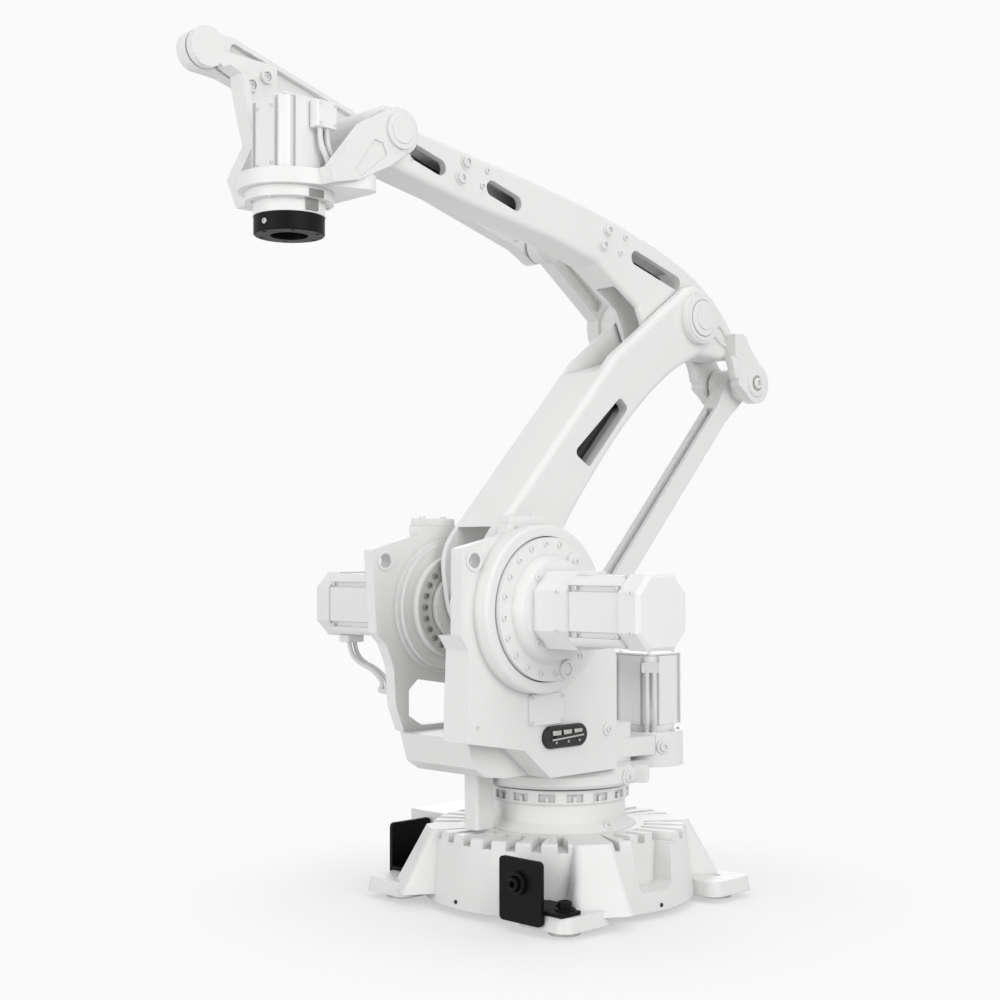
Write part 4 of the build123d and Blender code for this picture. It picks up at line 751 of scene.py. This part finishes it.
class RobotElbow(bpy.types.Operator):
    """Caps on both ends of the elbow pin, and the hoses and clamps inside the lower arm"""

    bl_idname = "robot.elbow"
    bl_label = "Elbow"

    def execute(self, context):
        bm = bmesh.new()
        ring(bm, [facing(on_pin(ELBOW, low("elbow_cap").y), OUT)], 0.060, 0.074, 0.004, 0.0015)
        disc(bm, [facing(on_pin(ELBOW, high("elbow_cap").y), OUT)], 0.038, 0.004, 0.0015)
        far = low("lower_arm").y - CAP_GAP
        thick = 0.007
        disc(bm, [facing(on_pin(ELBOW, far), BACK)], 0.058, thick, 0.002)
        heads = round_the(on_pin(ELBOW, far - thick), BACK, radius=0.038, count=6)
        screws(bm, heads, 0.007, 0.005)
        fit("elbow_caps", bm, "lower_arm", "white_casting_paint")
        self.hoses()
        return {"FINISHED"}

    def hoses(self):
        """Clamps of the harness and the two hoses beside it, by their reach along the arm and offset."""
        lean = radians(LOWER_ARM_LEAN)
        along = Vector((cos(lean), 0, sin(lean)))
        forward = Vector((sin(lean), 0, -cos(lean)))
        bm = bmesh.new()
        for reach in (0.470, 0.620, 0.770):
            clamp = on_pin(SHOULDER, middle("lower_arm_harness").y) + along * reach + forward * 0.088
            ring(bm, [facing(clamp, along)], 0.0302, 0.034, 0.022, 0.002)
        fit("hose_clamps", bm, "lower_arm", "black_plastic")
        bm = bmesh.new()
        length = 0.476
        for offset, y, radius in ((0.054, 0.084, 0.022), (0.128, 0.082, 0.024)):
            start = on_pin(SHOULDER, y) + along * 0.382 + forward * offset
            profile = [(0, 0), (radius, 0), (radius, length), (0, length)]
            turned(bm, [facing(start, along)], profile, steps=24)
        fit("arm_hoses", bm, "lower_arm", "black_hose")


class RobotLevelling(bpy.types.Operator):
    """Washers and bolts on the outer ends of the four levelling pins"""

    bl_idname = "robot.levelling"
    bl_label = "Levelling"

    def execute(self, context):
        sizes = context.scene.robot_sizes
        y = low("lower_levelling_rod").y - CAP_GAP
        for name, pin, body in (
                ("anchor_pin_bolt", ANCHOR_PIN, "frame"), ("link_pin_bolts", LINK_PIN, "elbow_link"),
                ("rear_link_pin_bolt", REAR_LINK_PIN, "elbow_link"),
                ("arm_pin_bolt", LEVEL_ARM_PIN, "tilt_house")):
            bm = bmesh.new()
            end = facing(on_pin(pin, y), BACK)
            seated_screws(bm, [end], sizes.washer, 0.005, sizes.arm_bolt, 0.010, edge=0.0015)
            fit(name, bm, body, "white_casting_paint")
        return {"FINISHED"}


class RobotWrist(bpy.types.Operator):
    """Screws, lids and plugs of the tilt housing, the wrist motor and the tool flange"""

    bl_idname = "robot.wrist"
    bl_label = "Wrist"

    def execute(self, context):
        sizes = context.scene.robot_sizes
        self.housing(sizes)
        self.index_window()
        self.motor(sizes)
        bm = bmesh.new()
        out = heading(11)
        rim = TOOL + Vector((0, 0, 0.0243)) + out * 0.0935
        screws(bm, [facing(rim, out)], 0.008, 0.004)
        fit("flange_plug", bm, "flange", "bare_steel")
        return {"FINISHED"}

    def housing(self, sizes):
        """Screws of the tilt housing, cupped bolts of its levelling arm and lids of the tilt axis."""
        bm = bmesh.new()
        heads = beside(WRIST, high("tilt_house").y, [(-0.0246, -0.058), (-0.0356, -0.072)])
        screws(bm, all_facing(heads, OUT), sizes.cover_screw, 0.004)
        cups = all_facing(beside(WRIST, -0.216, [(0.201, 0.167), (0.150, 0.201)]), OUT)
        ring(bm, cups, 0.013, 0.020, 0.012, 0.002)
        screws(bm, cups, 0.0125, 0.007)
        for y, towards in ((high("near_wrist_cap").y, OUT), (low("far_wrist_cap").y, BACK)):
            disc(bm, [facing(on_pin(WRIST, y), towards)], 0.036, 0.003, 0.001)
        under = round_the((TOOL.x, 0, 1.966), DOWN, radius=0.106, count=8, first=20)
        screws(bm, under, sizes.cover_screw, 0.003)
        deck = atop(TOOL, low("wrist_motor").z, corners(0.100, 0.060))
        screws(bm, all_facing(deck, UP), 0.007, 0.006)
        fit("tilt_house_screws", bm, "tilt_house", "white_casting_paint")

    def index_window(self):
        """Two grey plates on the wrist gear that show its zero mark."""
        bm = bmesh.new()
        blocks(bm, [facing((TOOL.x, 0.095, 1.950), OUT)], (0.038, 0.028, 0.006), 0.001)
        blocks(bm, [facing((TOOL.x, 0.115, 1.977), OUT)], (0.046, 0.020, 0.004), 0.001)
        fit("wrist_index_window", bm, "tilt_house", "bare_steel", "phosphated_steel")

    def motor(self, sizes):
        """Lid of the wrist motor and the screws in its front and in its plug."""
        bm = bmesh.new()
        motor_lid(bm, "wrist_motor", 0.146, 0.055, sizes)
        front = high("wrist_motor").x
        heads = [(front, y, z) for y in (-0.030, 0.030) for z in (2.060, 2.210)]
        screws(bm, all_facing(heads, AHEAD), sizes.cover_screw, 0.004)
        plug = beside(middle("wrist_motor_plug"), high("wrist_motor_plug").y, corners(0.024, 0.026))
        screws(bm, all_facing(plug, OUT), 0.004, 0.003)
        fit("wrist_motor_lid", bm, "tilt_house", "white_housing_paint")


def seen_directly(tree):
    """Socket that is 1 for rays from the camera, a reflection or a clear body, and 0 for bounced light."""
    path = add(tree, "ShaderNodeLightPath")
    mirrored = add(tree, "ShaderNodeMath", {
        0: path.outputs["Is Camera Ray"], 1: path.outputs["Is Glossy Ray"]}, operation="MAXIMUM")
    cleared = add(tree, "ShaderNodeMath", {
        0: mirrored.outputs["Value"], 1: path.outputs["Is Transmission Ray"]}, operation="MAXIMUM")
    return cleared.outputs["Value"]


class RobotStage(bpy.types.Operator):
    """Pale floor, soft studio light and the camera at the photograph's viewing angle"""

    bl_idname = "robot.stage"
    bl_label = "Stage"

    def execute(self, context):
        scene = context.scene
        scene.view_settings.view_transform = "Standard"
        pale = linear(scene.robot_colours.backdrop)
        self.floor(scene, pale)
        self.sky(scene, pale)
        self.lamps(scene)
        self.camera(scene)
        return {"FINISHED"}

    def floor(self, scene, pale):
        """Round floor: lit paper at the feet that fades to the backdrop, and grey in bounced light."""
        bm = bmesh.new()
        bmesh.ops.create_circle(bm, cap_ends=True, segments=96, radius=FLOOR_RADIUS)
        mesh = bpy.data.meshes.new("stage_floor")
        bm.to_mesh(mesh)
        bm.free()
        floor = bpy.data.objects.new("stage_floor", mesh)
        scene.collection.objects.link(floor)
        made, tree, out = new_material("stage_floor_paper")
        place = add(tree, "ShaderNodeTexCoord").outputs["Object"]
        reach = add(tree, "ShaderNodeVectorMath", {0: place}, operation="LENGTH")
        fade = add(tree, "ShaderNodeMapRange", {
            "Value": reach.outputs["Value"], "From Min": FADE_START, "From Max": FADE_END,
            "To Min": FADE_LEAST}, interpolation_type="SMOOTHSTEP")
        lit = add(tree, "ShaderNodeBsdfDiffuse", {"Color": pale})
        glow = add(tree, "ShaderNodeEmission", {"Color": pale, "Strength": 1.0})
        paper = add(tree, "ShaderNodeMixShader", {
            0: fade.outputs["Result"], 1: lit.outputs["BSDF"], 2: glow.outputs["Emission"]})
        bounce = add(tree, "ShaderNodeBsdfDiffuse", {"Color": shade(pale, FLOOR_BOUNCE)})
        mix = add(tree, "ShaderNodeMixShader", {
            0: seen_directly(tree), 1: bounce.outputs["BSDF"], 2: paper.outputs["Shader"]})
        tree.links.new(mix.outputs["Shader"], out.inputs["Surface"])
        mesh.materials.append(made)

    def sky(self, scene, pale):
        """Even studio light all round, with the backdrop's colour where it is seen."""
        world = bpy.data.worlds.new("studio")
        scene.world = world
        world.use_nodes = True
        tree = world.node_tree
        tree.nodes.clear()
        out = tree.nodes.new("ShaderNodeOutputWorld")
        light = add(tree, "ShaderNodeBackground", {"Color": (1, 1, 1, 1), "Strength": STUDIO_LEVEL})
        shown = add(tree, "ShaderNodeBackground", {"Color": pale, "Strength": 1.0})
        mix = add(tree, "ShaderNodeMixShader", {
            0: seen_directly(tree), 1: light.outputs["Background"], 2: shown.outputs["Background"]})
        tree.links.new(mix.outputs["Shader"], out.inputs["Surface"])

    def lamps(self, scene):
        """Large soft lamps: a key from the near side, fills from the front and back, and one overhead."""
        for name, (place, power) in LAMPS.items():
            lamp = bpy.data.lights.new(name, "AREA")
            lamp.size = LAMP_SIZE
            lamp.energy = power
            holder = bpy.data.objects.new(name, lamp)
            aim = (LAMP_AIM - Vector(place)).to_track_quat("-Z", "Y").to_matrix().to_4x4()
            holder.matrix_world = Matrix.Translation(place) @ aim
            scene.collection.objects.link(holder)

    def camera(self, scene):
        """Camera at the photograph's height, distance and lens."""
        bearing = radians(CAMERA_BEARING)
        pitch = radians(CAMERA_PITCH)
        towards = Vector((sin(bearing), cos(bearing), 0))
        level = Vector((-cos(bearing), sin(bearing), 0))
        place = level * CAMERA_SIDESTEP + towards * CAMERA_DISTANCE + Vector((0, 0, CAMERA_HEIGHT))
        ahead = -towards * cos(pitch) + Vector((0, 0, sin(pitch)))
        turn = Matrix.Rotation(radians(CAMERA_ROLL), 3, -ahead)
        right = turn @ level
        up = right.cross(ahead)
        lens = bpy.data.cameras.new("photo_camera")
        lens.sensor_width = SENSOR_MM
        lens.lens = SENSOR_MM * FOCAL_OVER_WIDTH
        holder = bpy.data.objects.new("photo_camera", lens)
        axes = Matrix((right, up, -ahead)).transposed().to_4x4()
        holder.matrix_world = Matrix.Translation(place) @ axes
        scene.collection.objects.link(holder)
        scene.camera = holder


class RobotPanel(bpy.types.Panel):
    """Buttons and values of the robot arm in the sidebar"""

    bl_idname = "ROBOT_PT_dress"
    bl_label = "Robot arm"
    bl_space_type = "VIEW_3D"
    bl_region_type = "UI"
    bl_category = "Robot"

    def draw(self, context):
        for group in (context.scene.robot_sizes, context.scene.robot_colours):
            for row in group.__annotations__:
                self.layout.prop(group, row)
        for step in STEPS:
            self.layout.operator(step.bl_idname)


STEPS = (
    RobotFinishes, RobotNearGear, RobotFarGear, RobotCheeks, RobotMotors, RobotSwivel, RobotBase,
    RobotUpperArm, RobotElbow, RobotLevelling, RobotWrist, RobotStage)
CLASSES = (RobotColours, RobotSizes) + STEPS + (RobotPanel,)


def register():
    for cls in CLASSES:
        bpy.utils.register_class(cls)
    bpy.types.Scene.robot_colours = bpy.props.PointerProperty(type=RobotColours)
    bpy.types.Scene.robot_sizes = bpy.props.PointerProperty(type=RobotSizes)


def unregister():
    del bpy.types.Scene.robot_sizes
    del bpy.types.Scene.robot_colours
    for cls in reversed(CLASSES):
        bpy.utils.unregister_class(cls)


def main():
    """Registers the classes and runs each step."""
    register()
    for step in STEPS:
        group, name = step.bl_idname.split(".")
        getattr(getattr(bpy.ops, group), name)()


if __name__ == "__main__":
    main()
